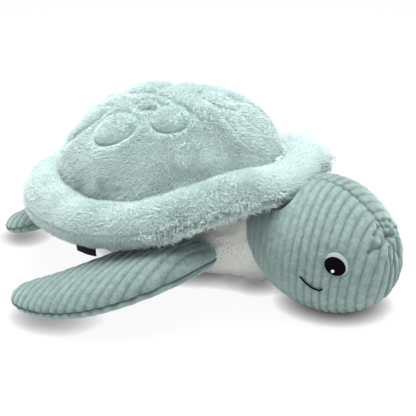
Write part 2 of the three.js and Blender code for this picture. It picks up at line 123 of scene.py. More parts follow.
class ShellSettings(bpy.types.PropertyGroup):
    """The dome and the rim. Forward places are measured from the neck joint."""
    rim_forward: length("Rim forward", "Middle of the rim", -99)
    rim_half_length: length("Rim half length", "From the middle to the tube's line, ahead", 132)
    rim_half_width: length("Rim half width", "From the middle to the tube's line, sideways", 121)
    rim_height: length("Rim height", "Mean height of the tube's line", 90)
    rim_front_rise: length("Rim front rise", "How much higher the line is at the head", 20)
    rim_end_rise: length("Rim end rise", "How much higher the line is at both ends", 8)
    tube_half_width: length("Tube half width", "Half width of the rim's tube", 27)
    tube_half_height: length("Tube half height", "Half height of the rim's tube", 20.5)
    dome_forward: length("Dome forward", "Middle of the dome", -105)
    dome_half_length: length("Dome half length", "Half length at its foot", 121)
    dome_half_width: length("Dome half width", "Half width at its foot", 98)
    dome_seat: length("Dome seat", "Height of its foot above the rim's line", 14.5)
    dome_rise: length("Dome rise", "Height over its foot", 80)
    dome_top_back: length("Dome top back", "How far back its top leans", 12)
    dome_under: length("Dome under depth", "Depth of its hidden underside", 26)
    dome_roundness: share("Dome roundness", "Exponent of its outline", 1.85)
    thread_radius: length("Thread radius", "Radius of the quilting thread", 0.8)
    quilt_depth: length("Quilt depth", "Depth of a quilting line", 2.4)
    quilt_width: length("Quilt width", "Half width of a quilting line", 2)
    quilt_puff: length("Quilt puff", "How far an oval swells", 2)
    front_droop: length("Front droop", "How far the rim sinks onto the head", 6)
    side_rise: length("Side rise", "How much higher the rim's line is on both sides of the head", 6)
    front_draw: length("Front draw", "How far the rim draws back over the head", 5)
    front_spread: turn("Front spread", "How far round the shell it sinks and draws back", 26)
    thin_angle: turn("Thin place", "Where the tube is thinnest beside the head, from its front end", 36)
    thin_spread: turn("Thin spread", "How far round the shell it is thinner", 26)
    thin_share: share("Thinning", "How much flatter the tube's underside is there", 0.6)
    fold_depth: length("Fold depth", "Depth of the soft folds of the dome", 3.5)
    fold_width: length("Fold width", "Half width of a soft fold", 9)


class BellySettings(bpy.types.PropertyGroup):
    """The belly's bowl and the neck ball."""
    forward: length("Belly forward", "Middle of the bowl, from the neck joint", -97)
    half_length: length("Belly half length", "Half length of the bowl", 146)
    half_width: length("Belly half width", "Half width of the bowl", 84)
    height: length("Belly height", "Depth of the bowl", 56)
    top_rise: length("Belly top rise", "How far its top goes up into the shell", 34)
    shoulder: share("Belly shoulder", "Exponent of its upper part", 0.35)
    neck_radius: length("Neck radius", "Radius of the neck ball", 56)
    remesh: length("Belly fineness", "Size of the belly's faces", 2.2)


class HeadSettings(bpy.types.PropertyGroup):
    """The head, an egg that slopes down to the nose. Forward places are measured from the neck joint."""
    forward: length("Head forward", "Middle of the egg", 69)
    height: length("Head height", "Height of the middle of the egg", 63.5)
    half_length: length("Head half length", "Half length of the egg", 84)
    half_width: length("Head half width", "Half width of the egg", 69)
    half_height: length("Head half height", "Half height of the egg", 61)
    slope: turn("Head slope", "How steeply the egg slopes down", 27)
    rings: count("Head rings", "Rows of faces from nose to neck", 270)
    turns: count("Head turns", "Faces round the head", 232)
    wale_pitch: length("Head wale pitch", "From one wale to the next, along the head", 7.5)
    wale_start: length("Wale start", "From the neck joint to a groove", 5.6)
    wale_level: length("Wale level", "Height at which the wales lie furthest forward", 80)
    wale_bow: length("Wale bow", "How little the wales bow back at the crown and the chin", 400)
    nose_start: length("Nose start", "Where the wales close up on the nose", 134)
    nose_width: length("Nose width", "Reach of the closer wales beside the front seam", 27)
    nose_closing: share("Nose closing", "How much closer the wales lie there", 0.32)
    rim_room: length("Rim room", "How far the head's cloth stays under the rim's", 1)
    free_turn_share: share("Free turn", "Part of the head's turn that its cloth leaves room for", 0.3)
    hidden_depth: length("Hidden depth", "How far in from its outer edge the rim hides the head", 15)
    crown_drop: length("Crown drop", "How far the rim presses the crown down", 7)
    crown_start: length("Crown start", "From the neck joint to where the crown is free", 98)
    pucker_forward: length("Pucker forward", "Where the crown seam is gathered", 130.5)
    pucker_height: length("Pucker height", "Height of the gathered place", 80)
    pucker_radius: length("Pucker radius", "Length that its creases and bumps are shares of", 24)
    pucker_depth: length("Pucker depth", "Depth of its dimple", 3)
    crease_depth: length("Crease depth", "Depth of its creases", 2.1)
    crease_width: length("Crease width", "Half width of a crease", 1.9)
    bump_height: length("Bump height", "Height of the bumps between the creases", 2.2)
    bump_radius: length("Bump radius", "Half width of a bump", 4.5)
    valley_depth: length("Seam valley depth", "How far the crown and the nose draw in at the seam", 2)
    valley_width: length("Seam valley width", "Half width of that valley", 12)


class FaceSettings(bpy.types.PropertyGroup):
    """Embroidery of the face. Forward places are measured from the neck joint."""
    white_forward: length("White forward", "Middle of the white", 112.6)
    white_height: length("White height", "Height of the middle of the white", 68.2)
    white_half_length: length("White half length", "Half of the white's long side", 11.7)
    white_half_width: length("White half width", "Half of the white's short side", 7.2)
    white_turn: turn("White turn", "How far the white's long side dips forward", 52.8)
    pupil_forward: length("Pupil forward", "Middle of the pupil", 111.3)
    pupil_height: length("Pupil height", "Height of the middle of the pupil", 66.3)
    pupil_half_length: length("Pupil half length", "Half of the pupil's long side", 9.9)
    pupil_half_width: length("Pupil half width", "Half of the pupil's short side", 6.8)
    pupil_turn: turn("Pupil turn", "How far the pupil's long side dips forward", 45.2)
    glint_forward: length("Glint forward", "Middle of the glint", 110.1)
    glint_height: length("Glint height", "Height of the glint", 62.2)
    glint_radius: length("Glint radius", "Radius of the white glint", 1.35)
    smile_forward: length("Smile forward", "Middle of the smile", 92.2)
    smile_height: length("Smile height", "Lowest height of the smile", 41)
    smile_half_length: length("Smile half length", "Half length of the smile", 10)
    smile_rise: length("Smile rise", "How far its rear end rises", 12.5)
    smile_tick: length("Smile tick", "How far its front end turns up", 2)
    smile_thickness: length("Smile thickness", "Thickness of its stitches", 1.6)
    thread: length("Stitch thickness", "Thickness of the satin stitches", 1.3)
    thread_colour: colour("Dark thread", "Colour of the pupil and the smile", 0.004, 0.003, 0.005)
    white_colour: colour("White thread", "Colour of the white of the eye", 0.46, 0.51, 0.53)
    glint_colour: colour("Glint thread", "Colour of the glint", 0.92, 0.92, 0.92)


class FlipperSettings(bpy.types.PropertyGroup):
    """One pair of flippers."""
    root_length: length("Root length", "Length of the round root", 31)
    root_half_width: length("Root half width", "Half width at the shoulder", 31)
    half_width: length("Half width", "Half width of the blade", 49)
    reach: length("Reach", "From the shoulder to the tip, along its line", 162)
    root_half_thickness: length("Root half thickness", "Half thickness at the shoulder", 25)
    tip_half_thickness: length("Tip half thickness", "Half thickness towards the tip", 25)
    tip_height: length("Tip height", "Height of the tip's middle", 18.5)
    heading: turn("Heading", "Direction at the shoulder", -107)
    bend: turn("Bend", "How much the blade turns towards its tip", -78)
    wale_pitch: length("Flipper wale pitch", "From one wale to the next", 10.6)
    # Painted shade: the flippers' wales are darker than the head's, for the less light that reaches them
    crest_shade_share: share("Crest lightness", "How light the wales' crests are, against the head's", 0.86)
    fan_back: length("Fan back", "How far behind the shoulder the wales would meet", 65)
    fan_side: length("Fan side", "How far beside the shoulder the wales would meet", 470)
    rings: count("Flipper rings", "Rows of faces along it", 400)
    turns: count("Flipper turns", "Faces round it", 140)
    under_share: share("Flatness below", "How thick the lower half is, against the upper half", 0.7)
    corner_lift: length("Corner lift", "How far the front edge rises at the shoulder", 13)
    corner_reach: length("Corner reach", "How far the front edge is drawn out at the shoulder", 12)


class StageSettings(bpy.types.PropertyGroup):
    """Camera, lamps and floor."""
    camera_place: FloatVectorProperty(
        name="Camera place", description="Where the camera stands", size=3, unit="LENGTH",
        default=(0.5896, -0.904, 0.5083),
    )
    camera_turn: turn("Camera turn", "Direction of view, from +Y towards -X", 32.62)
    camera_dip: turn("Camera dip", "How far the view looks down", 22.44)
    focal_length: FloatProperty(name="Focal length", description="In millimetres", default=99.6)
    floor_size: length("Floor size", "Side of the floor", 9000)
    floor_colour: colour("Floor colour", "Colour of the floor", 0.9, 0.9, 0.9)
    floor_whiteness: share("Floor whiteness", "How much of the floor's look is plain white", 0.94)
    contact_reach: length("Contact reach", "How near the floor a form darkens it", 17)
    world_strength: FloatProperty(name="World strength", description="Light from all sides", default=0.35)
    overhead_power: FloatProperty(name="Overhead power", description="Watts of the lamp above", default=42)


# Meshes

def shade_faces(mesh, smooth):
    mesh.polygons.foreach_set("use_smooth", [smooth] * len(mesh.polygons))


def new_piece(name, form, material):
    """A smooth object made of a bmesh form, with its place in its mesh."""
    mesh = bpy.data.meshes.new(name)
    form.to_mesh(mesh)
    form.free()
    shade_faces(mesh, True)
    piece = bpy.data.objects.new(name, mesh)
    bpy.context.scene.collection.objects.link(piece)
    mesh.materials.append(bpy.data.materials[material])
    return piece


def vectors_of(rows, name):
    """The vectors that a mesh keeps under a name, one row for each."""
    vectors = np.empty(len(rows) * 3, np.float32)
    rows.foreach_get(name, vectors)
    return vectors.reshape(-1, 3).astype(float)


def points_of(mesh):
    return vectors_of(mesh.vertices, "co")


def normals_of(mesh):
    return vectors_of(mesh.vertex_normals, "vector")


def place_points(mesh, points):
    mesh.vertices.foreach_set("co", points.astype(np.float32).ravel())
    mesh.update()


def keep(mesh, name, values):
    """Keeps a number or a vector for each vertex, for a material or the tufts."""
    kind, field = ("FLOAT", "value") if values.ndim == 1 else ("FLOAT_VECTOR", "vector")
    layer = mesh.attributes.new(name, kind, "POINT")
    layer.data.foreach_set(field, values.astype(np.float32).ravel())


def on_floor(points, clearance):
    """Flattens a soft form where it rests on the floor."""
    points[:, 2] = np.maximum(points[:, 2], clearance)
    return points


def smooth_step(low, high, value):
    t = np.clip((value - low) / (high - low), 0, 1)
    return t * t * (3 - 2 * t)


def bell(distance, reach):
    """1 at no distance, falling to 0 past the reach."""
    return np.exp(-((distance / reach) ** 2))


def lattice_noise(cells, seed):
    """A number from -1 to 1 for each lattice cell, the same on each run."""
    mixed = cells[:, 0] * 374761393 + cells[:, 1] * 668265263 + cells[:, 2] * 2147483647 + seed * 144665
    mixed = (mixed ^ (mixed >> 13)) * 1274126177
    mixed = mixed ^ (mixed >> 16)
    return (mixed & 0xFFFFFF) / 0x7FFFFF - 1


def soft_noise(points, size, seed):
    """Smooth noise from -1 to 1 at the points, whose bumps are about as large as size."""
    scaled = points / size
    low = np.floor(scaled).astype(np.int64)
    part = scaled - low
    part = part * part * (3 - 2 * part)
    total = np.zeros(len(points))
    for corner in range(8):
        step = np.array([corner & 1, corner >> 1 & 1, corner >> 2 & 1])
        weight = np.prod(np.where(step, part, 1 - part), axis=1)
        total += weight * lattice_noise(low + step, seed)
    return total


def lumps(points, *layers):
    """Uneven heights: layers of noise, each with its height and size in millimetres and its seed."""
    return MM * sum(height * soft_noise(points, size * MM, seed) for height, size, seed in layers)


def vector_noise(points, size, seed):
    return np.stack([soft_noise(points, size, seed + k) for k in range(3)], axis=1)


def unit(vectors):
    return vectors / np.maximum(np.linalg.norm(vectors, axis=1, keepdims=True), 1e-9)


def half_ball(form, side, axis):
    """Cuts a ball's mesh to one side of a plane through its middle, and closes it."""
    normal = Vector([0, 0, 0])
    normal[axis] = side
    every = form.verts[:] + form.edges[:] + form.faces[:]
    cut = bmesh.ops.bisect_plane(form, geom=every, plane_no=normal, clear_inner=True)
    rim = [part for part in cut["geom_cut"] if isinstance(part, bmesh.types.BMEdge)]
    bmesh.ops.contextual_create(form, geom=rim)


def half_sphere(name, sizes, side, axis):
    """Half of a fine ball whose poles lie along X, in corduroy."""
    form = bmesh.new()
    bmesh.ops.create_uvsphere(
        form, u_segments=sizes.turns, v_segments=sizes.rings, radius=1,
        matrix=Matrix.Rotation(math.pi / 2, 4, "Y"),
    )
    half_ball(form, side, axis)
    return new_piece(name, form, "mint corduroy")


def close_form(mesh):
    """Cuts a flat side into triangles once its outline has its shape, and turns all faces outward."""
    form = bmesh.new()
    form.from_mesh(mesh)
    wide = [face for face in form.faces if len(face.verts) > 4]
    bmesh.ops.triangulate(form, faces=wide, ngon_method="EAR_CLIP")
    bmesh.ops.recalc_face_normals(form, faces=form.faces)
    form.to_mesh(mesh)
    form.free()


def spin_round(form, steps):
    """Turns an outline once round the upright axis into a closed ring."""
    bmesh.ops.spin(
        form, geom=form.verts[:] + form.edges[:], cent=(0, 0, 0), axis=(0, 0, 1),
        angle=2 * math.pi, steps=steps, use_merge=True,
    )
    bmesh.ops.recalc_face_normals(form, faces=form.faces)


# Materials

def add_node(tree, kind, values=None, **settings):
    """A new node with its own settings, and plain values on its sockets."""
    node = tree.nodes.new(kind)
    for name, value in settings.items():
        setattr(node, name, value)
    for name, value in (values or {}).items():
        node.inputs[name].default_value = value
    return node


def join(tree, output, node, name):
    tree.links.new(output, node.inputs[name])


def new_material(name, values):
    """The node tree and the shader of a new material, whose shader has plain values."""
    material = bpy.data.materials.new(name)
    material.use_nodes = True
    shader = material.node_tree.nodes["Principled BSDF"]
    for socket, value in values.items():
        shader.inputs[socket].default_value = value
    return material.node_tree, shader


def texture(tree, kind, values):
    """Pattern that is fixed to the object."""
    node = add_node(tree, kind, values)
    join(tree, add_node(tree, "ShaderNodeTexCoord").outputs["Object"], node, "Vector")
    return node.outputs["Fac"]


def noise(tree, scale, detail):
    return texture(tree, "ShaderNodeTexNoise", {"Scale": scale, "Detail": detail})


def mixed_colours(tree, amount, first, second):
    mix = add_node(tree, "ShaderNodeMix", {"A": (*first, 1), "B": (*second, 1)}, data_type="RGBA")
    join(tree, amount, mix, "Factor")
    return mix.outputs["Result"]


def varied(tree, shade, scale, low, high):
    """Makes a colour lighter and darker in soft patches."""
    values = {"From Min": 0.3, "From Max": 0.7, "To Min": low, "To Max": high}
    spread = add_node(tree, "ShaderNodeMapRange", values)
    join(tree, noise(tree, scale, 3), spread, "Value")
    scaled = add_node(tree, "ShaderNodeHueSaturation")
    join(tree, shade, scaled, "Color")
    join(tree, spread.outputs["Result"], scaled, "Value")
    return scaled.outputs["Color"]


def roughen(tree, shader, height, strength, distance):
    """Gives a shader the fine relief of a pattern."""
    bump = add_node(tree, "ShaderNodeBump", {"Strength": strength, "Distance": distance})
    join(tree, height, bump, "Height")
    join(tree, bump.outputs["Normal"], shader, "Normal")


def attribute_socket(tree, name):
    return add_node(tree, "ShaderNodeAttribute", attribute_name=name).outputs["Fac"]


def fur_material(name, root, tip, sheen):
    """Soft pile: painted shade makes each tuft darker at its root and lighter at its tip."""
    tree, shader = new_material(name, {
        "Roughness": 0.95, "Specular IOR Level": 0.1,
        "Sheen Weight": 0.6, "Sheen Roughness": 0.45, "Sheen Tint": (*sheen, 1),
        "Subsurface Weight": 0.4, "Subsurface Radius": (1, 1, 1), "Subsurface Scale": 2 * MM,
    })
    # Painted shade: the root colour darkens each tuft towards its base and the cloth between the tufts
    shade = mixed_colours(tree, attribute_socket(tree, "tip"), root, tip)
    join(tree, varied(tree, shade, 60, 0.96, 1.04), shader, "Base Color")
    roughen(tree, shader, noise(tree, 900, 4), 0.4, 0.6 * MM)


def corduroy_material(name, groove, crest):
    """Velvety wales, with painted shade that darkens the grooves."""
    tree, shader = new_material(name, {
        "Roughness": 0.9, "Specular IOR Level": 0.15,
        "Sheen Weight": 1, "Sheen Roughness": 0.4, "Sheen Tint": (0.8, 1, 0.96, 1),
    })
    # Painted shade: the groove colour where the wale mark is low
    shade = mixed_colours(tree, attribute_socket(tree, "wale"), groove, crest)
    shade = varied(tree, shade, 150, 0.85, 1.15)
    join(tree, varied(tree, shade, 600, 0.88, 1.12), shader, "Base Color")
    roughen(tree, shader, noise(tree, 800, 4), 0.8, 0.9 * MM)


def thread_material(name, shade, scale, shine):
    """Satin stitches: fine parallel threads."""
    tree, shader = new_material(name, {"Roughness": 0.75, "Specular IOR Level": shine})
    wave = texture(tree, "ShaderNodeTexWave", {"Scale": scale, "Distortion": 1.2})
    dark = [value * 0.75 for value in shade]
    join(tree, mixed_colours(tree, wave, dark, shade), shader, "Base Color")
    roughen(tree, shader, wave, 0.5, 0.3 * MM)


# Tufts

# Thickness of a tuft as a share of its width
TUFT_FLATNESS = 0.4
# Shortest and longest tuft as shares of the pile's length
TUFT_SHARES = (0.7, 1.25)
# Least height of the pile, as a share of its length, where tufts grow
BARE_SHARE = 0.05

# Tufts on a square metre, how far they stand up from their comb, and how far they stray from it
CLUMPS = (1.2e5, 0.7, 0.3)
DOME_PILE = (1.1e6, 0.9, 0.35)
RIM_PILE = (1e6, 0.9, 0.35)
BELLY_PILE = (1.1e6, 0.8, 0.35)


def tuft_form(name, width, material):
    """A flat tapered tuft, one metre long, marked from root to tip for the painted shade at its root."""
    form = bmesh.new()
    bmesh.ops.create_cone(form, segments=3, radius1=0.5, radius2=0, depth=1, cap_ends=True)
    bmesh.ops.translate(form, verts=form.verts, vec=(0, 0, 0.5))
    bmesh.ops.scale(form, verts=form.verts, vec=(width, TUFT_FLATNESS * width, 1))
    tuft = new_piece(name, form, material)
    shade_faces(tuft.data, False)
    keep(tuft.data, "tip", points_of(tuft.data)[:, 2])
    tuft.hide_render = True
    return tuft


def named_value(tree, name, kind):
    node = add_node(tree, "GeometryNodeInputNamedAttribute", {"Name": name}, data_type=kind)
    return node.outputs["Attribute"]


def worked_out(tree, operation, first, second):
    """A number or a vector made of two others; the second may be a plain number."""
    kind = "ShaderNodeVectorMath" if operation == "ADD" else "ShaderNodeMath"
    node = add_node(tree, kind, operation=operation)
    join(tree, first, node, 0)
    if isinstance(second, float):
        node.inputs[1].default_value = second
    else:
        join(tree, second, node, 1)
    return node.outputs[0]


def random_size(tree, low, high, seed):
    values = {2: low, 3: high, "Seed": seed}
    return add_node(tree, "FunctionNodeRandomValue", values, data_type="FLOAT").outputs[1]


def random_way(tree, stray, seed):
    values = {"Min": (-stray, -stray, -stray), "Max": (stray, stray, stray), "Seed": seed}
    node = add_node(tree, "FunctionNodeRandomValue", values, data_type="FLOAT_VECTOR")
    return node.outputs["Value"]


def tuft_turn(tree, way, normal):
    """Turns a tuft along its way, with its flat side up."""
    along = add_node(tree, "FunctionNodeAlignRotationToVector", axis="Z")
    join(tree, way, along, "Vector")
    flat = add_node(tree, "FunctionNodeAlignRotationToVector", axis="Y", pivot_axis="Z")
    join(tree, along.outputs["Rotation"], flat, "Rotation")
    join(tree, normal, flat, "Vector")
    return flat.outputs["Rotation"]


def tuft_size(tree, height, pile, seed):
    """Stretches a tuft to its length."""
    short, tall = TUFT_SHARES
    length_socket = random_size(tree, short * pile, tall * pile, seed)
    scale = add_node(tree, "ShaderNodeCombineXYZ", {"X": 1, "Y": 1})
    join(tree, worked_out(tree, "MULTIPLY", length_socket, height), scale, "Z")
    return scale.outputs["Vector"]


def tuft_nodes(tuft, height_name, growth, pile, seed):
    """Node group that scatters tufts over a form, leaning along its comb."""
    density, stand, stray = growth
    tree = bpy.data.node_groups.new(tuft.name, "GeometryNodeTree")
    tree.interface.new_socket("Geometry", in_out="INPUT", socket_type="NodeSocketGeometry")
    tree.interface.new_socket("Geometry", in_out="OUTPUT", socket_type="NodeSocketGeometry")
    start = add_node(tree, "NodeGroupInput").outputs[0]
    height = named_value(tree, height_name, "FLOAT")
    present = worked_out(tree, "GREATER_THAN", height, BARE_SHARE)
    scatter = add_node(tree, "GeometryNodeDistributePointsOnFaces", {"Seed": seed})
    join(tree, start, scatter, "Mesh")
    join(tree, worked_out(tree, "MULTIPLY", present, density), scatter, "Density")
    upright = add_node(tree, "ShaderNodeVectorMath", operation="SCALE")
    upright.inputs["Scale"].default_value = stand
    join(tree, scatter.outputs["Normal"], upright, 0)
    lean = worked_out(tree, "ADD", upright.outputs[0], named_value(tree, "comb", "FLOAT_VECTOR"))
    way = worked_out(tree, "ADD", lean, random_way(tree, stray, seed + 1))
    source = add_node(tree, "GeometryNodeObjectInfo", {"Object": tuft})
    copies = add_node(tree, "GeometryNodeInstanceOnPoints")
    join(tree, scatter.outputs["Points"], copies, "Points")
    join(tree, source.outputs["Geometry"], copies, "Instance")
    join(tree, tuft_turn(tree, way, scatter.outputs["Normal"]), copies, "Rotation")
    join(tree, tuft_size(tree, height, pile, seed + 2), copies, "Scale")
    real = add_node(tree, "GeometryNodeRealizeInstances")
    join(tree, copies.outputs["Instances"], real, "Geometry")
    both = add_node(tree, "GeometryNodeJoinGeometry")
    join(tree, start, both, "Geometry")
    join(tree, real.outputs["Geometry"], both, "Geometry")
    join(tree, both.outputs["Geometry"], add_node(tree, "NodeGroupOutput"), 0)
    return tree


def grow_fur(piece, height_name, growth, pile, width, seed):
    """Grows tufts on a piece that keeps a comb and, under the given name, how tall they are."""
    tuft = tuft_form(f"{piece.name}_{height_name}", width, piece.data.materials[0].name)
    modifier = piece.modifiers.new("fur", "NODES")
    modifier.node_group = tuft_nodes(tuft, height_name, growth, pile, seed)
    apply_modifiers(piece)
    bpy.data.objects.remove(tuft)


def grow_shell_fur(context, piece, growth, clump_seed, pile_seed):
    """Grows the longer clumps and then the pile on a piece of the shell."""
    cloth = context.scene.turtle_cloth
    grow_fur(piece, "clump", CLUMPS, cloth.clump_length, cloth.clump_width, clump_seed)
    grow_fur(piece, "pile", growth, cloth.pile_length, cloth.pile_width, pile_seed)


def apply_modifiers(piece):
    graph = bpy.context.evaluated_depsgraph_get()
    graph.update()
    done = bpy.data.meshes.new_from_object(piece.evaluated_get(graph), depsgraph=graph)
    old = piece.data
    piece.modifiers.clear()
    piece.data = done
    bpy.data.meshes.remove(old)
    done.name = piece.name


def attach(piece, body, nodes):
    """Puts a finished piece on its body and hides the parts that it stands for."""
    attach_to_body(piece, body)
    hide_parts(*nodes)


# Shell

def at_head(shell, angle):
    """1 where the rim lies on the head, falling to 0 round the shell."""
    return bell(angle, shell.front_spread)


def beside_head(shell, angle):
    """1 on both sides of the head, falling to 0 round the shell."""
    return bell(np.abs(angle) - shell.thin_angle, shell.thin_spread)


def under_height(shell, angle):
    """Half height of the tube's lower half, which is flatter on both sides of the head."""
    return shell.tube_half_height * (1 - shell.thin_share * beside_head(shell, angle))


def rim_line(shell, angle):
    """Height of the tube's line at an angle round the shell, 0 at the head."""
    rise = shell.rim_front_rise * np.cos(angle) + shell.rim_end_rise * np.cos(2 * angle)
    rise = rise + shell.side_rise * beside_head(shell, angle)
    return shell.rim_height + rise - shell.front_droop * at_head(shell, angle)


def dome_points(shell, ball):
    """Places on the dome, and on its hidden underside, for the points of a unit ball."""
    power = 2 / shell.dome_roundness
    around = np.arctan2(ball[:, 1], ball[:, 0])
    across = np.hypot(ball[:, 0], ball[:, 1])
    up = np.clip(ball[:, 2], 0, 1)
    over = ball[:, 2] > 0
    spread = np.where(over, across ** power, across)
    lift = np.where(over, up ** power, 0)
    down = np.clip(-ball[:, 2], 0, 1)
    foot = shell.rim_height + shell.dome_seat + (rim_line(shell, around) - shell.rim_height) * spread
    forward = NECK.x + shell.dome_forward + shell.dome_half_length * np.cos(around) * spread
    return np.stack([
        forward - shell.dome_top_back * lift,
        shell.dome_half_width * np.sin(around) * spread,
        foot + shell.dome_rise * lift - shell.dome_under * down,
    ], axis=1)


# Quilted ovals of the dome: place and size as shares of its half length and width, and turn in degrees
MIDDLE_OVAL_SHARES = (
    (-0.58, 0, 0.16, 0.14, 0),
    (-0.1, 0, 0.23, 0.165, 0),
    (0.56, 0, 0.18, 0.125, 0),
)
# Ovals on one side of the dome, whose other side mirrors them
SIDE_OVAL_SHARES = (
    (-0.46, 0.44, 0.19, 0.11, -18),
    (-0.1, 0.61, 0.21, 0.155, 0),
    (0.36, 0.48, 0.17, 0.15, 0),
)
# Small pads without a thread, on one side
PAD_SHARES = ((0.08, 0.36, 0.12, 0.06, 4),)

# Crease above the side ovals, on one side of the dome, as shares like the ovals'
ARC_SHARES = (
    (-0.565, 0.09), (-0.35, 0.136), (-0.225, 0.17), (-0.05, 0.16), (0.05, 0.176),
    (0.214, 0.25), (0.316, 0.3), (0.45, 0.342), (0.534, 0.366), (0.627, 0.425),
)
# Short creases at the front of the dome and across its top, on one side
FRONT_SHARES = ((0.575, 0.181), (0.66, 0.154), (0.734, 0.255), (0.789, 0.267), (0.867, 0.276))
BROW_SHARES = ((0.62, 0), (0.686, 0.084), (0.725, 0.1))
STROKE_SHARES = ((0.387, 0.126), (0.391, 0.01), (0.481, 0.015))
# Soft valleys and ridges that run down from the quilting, on one side
VALLEY_SHARES = (
    (0.561, 0.576), (0.646, 0.58), (0.749, 0.547), (0.838, 0.53), (0.948, 0.459), (1, 0.414),
)
HOLLOW_SHARES = (
    (0.308, 0.896), (0.458, 0.854), (0.549, 0.842), (0.633, 0.821), (0.71, 0.786), (0.755, 0.754),
)
RIDGE_SHARES = ((0.57, 0.268), (0.778, 0.319), (0.893, 0.306))
SIDE_RIDGE_SHARES = ((0.745, 0.604), (0.842, 0.569), (0.887, 0.55))


# Depth of each crease against a quilting line's, and height of each fold against the fold depth
CREASES = ((1.4, ARC_SHARES), (1, FRONT_SHARES), (0.8, BROW_SHARES), (0.6, STROKE_SHARES))
FOLDS = ((-1, VALLEY_SHARES), (-0.8, HOLLOW_SHARES), (0.7, RIDGE_SHARES), (0.6, SIDE_RIDGE_SHARES))
# Where an oval's swelling is full, as a share of its edge's distance
PUFF_SHARE = 0.55


def on_both_sides(ovals):
    """The ovals of one side and their mirrors, all on the right first."""
    return [
        (ahead, side * out, half_length, half_width, side * angle)
        for side in (RIGHT, LEFT)
        for ahead, out, half_length, half_width, angle in ovals
    ]


def all_ovals():
    """Every oval that has a thread: middle row, right side, left side."""
    return [*MIDDLE_OVAL_SHARES, *on_both_sides(SIDE_OVAL_SHARES)]


def plan_of(shell, points):
    """Plan of the dome as shares of its half length and half width, from under its top."""
    ahead = (points[:, 0] - NECK.x - shell.dome_forward + shell.dome_top_back) / shell.dome_half_length
    return ahead, points[:, 1] / shell.dome_half_width


def segment_distance(here, first, second):
    """Distance from plan points to a straight stretch between two others."""
    way = second - first
    t = np.clip((here - first) @ way / (way @ way), 0, 1)
    return np.linalg.norm(here - first - t[:, None] * way, axis=1)


def line_distance(shell, ahead, out, line):
    """Distance from points of the plan to a line of shares."""
    scale = np.array([shell.dome_half_length, shell.dome_half_width])
    here = np.stack([ahead, out], axis=1) * scale
    stretches = [
        segment_distance(here, np.array(first) * scale, np.array(second) * scale)
        for first, second in zip(line, line[1:])
    ]
    return np.min(stretches, axis=0)


def oval_reach(shell, ahead, out, oval):
    """How far points of the plan lie from an oval's middle, against its edge, and its narrower half."""
    forward, side, half_length, half_width, angle = oval
    x = (ahead - forward) * shell.dome_half_length
    y = (out - side) * shell.dome_half_width
    cosine, sine = math.cos(math.radians(angle)), math.sin(math.radians(angle))
    long = half_length * shell.dome_half_length
    wide = half_width * shell.dome_half_width
    return np.hypot((x * cosine + y * sine) / long, (y * cosine - x * sine) / wide), min(long, wide)


def quilting(shell, points):
    """How far the quilting pulls the dome's cloth in or lets it swell, and where its lines are."""
    ahead, out = plan_of(shell, points)
    pull = np.zeros(len(points))
    line = np.zeros(len(points))
    for oval in all_ovals() + on_both_sides(PAD_SHARES):
        reach, narrow = oval_reach(shell, ahead, out, oval)
        groove = bell((reach - 1) * narrow, shell.quilt_width)
        pull += shell.quilt_puff * smooth_step(1, PUFF_SHARE, reach) - shell.quilt_depth * groove
        line = np.maximum(line, groove)
    for depth, line_shares in CREASES:
        groove = bell(line_distance(shell, ahead, np.abs(out), line_shares), shell.quilt_width)
        pull -= depth * shell.quilt_depth * groove
        line = np.maximum(line, groove)
    for height, line_shares in FOLDS:
        fold = bell(line_distance(shell, ahead, np.abs(out), line_shares), shell.fold_width)
        pull += height * shell.fold_depth * fold
    return pull, line


# Radius of a thread's section in its unit ring, and how far it lies above its groove, in radii
RING_RADIUS = 0.25
THREAD_LIFT = 0.2


def thread_ring(name):
    """A fine closed ring of thread on a unit circle."""
    form = bmesh.new()
    bmesh.ops.create_circle(form, segments=6, radius=RING_RADIUS)
    bmesh.ops.rotate(form, verts=form.verts, matrix=Matrix.Rotation(math.pi / 2, 3, "X"))
    bmesh.ops.translate(form, verts=form.verts, vec=(1, 0, 0))
    spin_round(form, 72)
    return new_piece(name, form, "quilting thread")


def oval_line(shell, oval, around):
    """Places in plan along an oval's edge."""
    forward, side, half_length, half_width, angle = oval
    cosine, sine = math.cos(math.radians(angle)), math.sin(math.radians(angle))
    long = half_length * shell.dome_half_length * np.cos(around)
    wide = half_width * shell.dome_half_width * np.sin(around)
    x = NECK.x + shell.dome_forward - shell.dome_top_back + forward * shell.dome_half_length
    y = side * shell.dome_half_width
    return x + long * cosine - wide * sine, y + long * sine + wide * cosine


def quilting_threads(context, cloth, smooth):
    """Lays a thread round each oval, in the groove of the dome's cloth, whose smooth places are given."""
    shell = context.scene.turtle_shell
    quilted = points_of(cloth)
    triangles = [tuple(face.vertices) for face in cloth.polygons]
    surface = BVHTree.FromPolygons([Vector(place) for place in smooth], triangles)
    for number, oval in enumerate(all_ovals(), 1):
        thread = thread_ring(f"quilting_thread_{number:02d}")
        ring = points_of(thread.data)
        around = np.arctan2(ring[:, 1], ring[:, 0])
        out = (np.hypot(ring[:, 0], ring[:, 1]) - 1) / RING_RADIUS
        up = ring[:, 2] / RING_RADIUS + THREAD_LIFT
        heading = around + math.radians(oval[4])
        points = np.empty((len(ring), 3))
        for k, (x, y) in enumerate(zip(*oval_line(shell, oval, around))):
            hit, normal, face = surface.ray_cast(Vector((x, y, 1)), Vector((0, 0, -1)))[:3]
            before = [Vector(smooth[corner]) for corner in triangles[face]]
            after = [Vector(quilted[corner]) for corner in triangles[face]]
            outward = Vector((math.cos(heading[k]), math.sin(heading[k]), 0))
            sideways = (outward - normal * outward.dot(normal)).normalized()
            place = barycentric_transform(hit, *before, *after)
            points[k] = place + shell.thread_radius * (sideways * out[k] + normal * up[k])
        place_points(thread.data, points)
        attach(thread, "root", [f"scute_stitch_{number:02d}"])


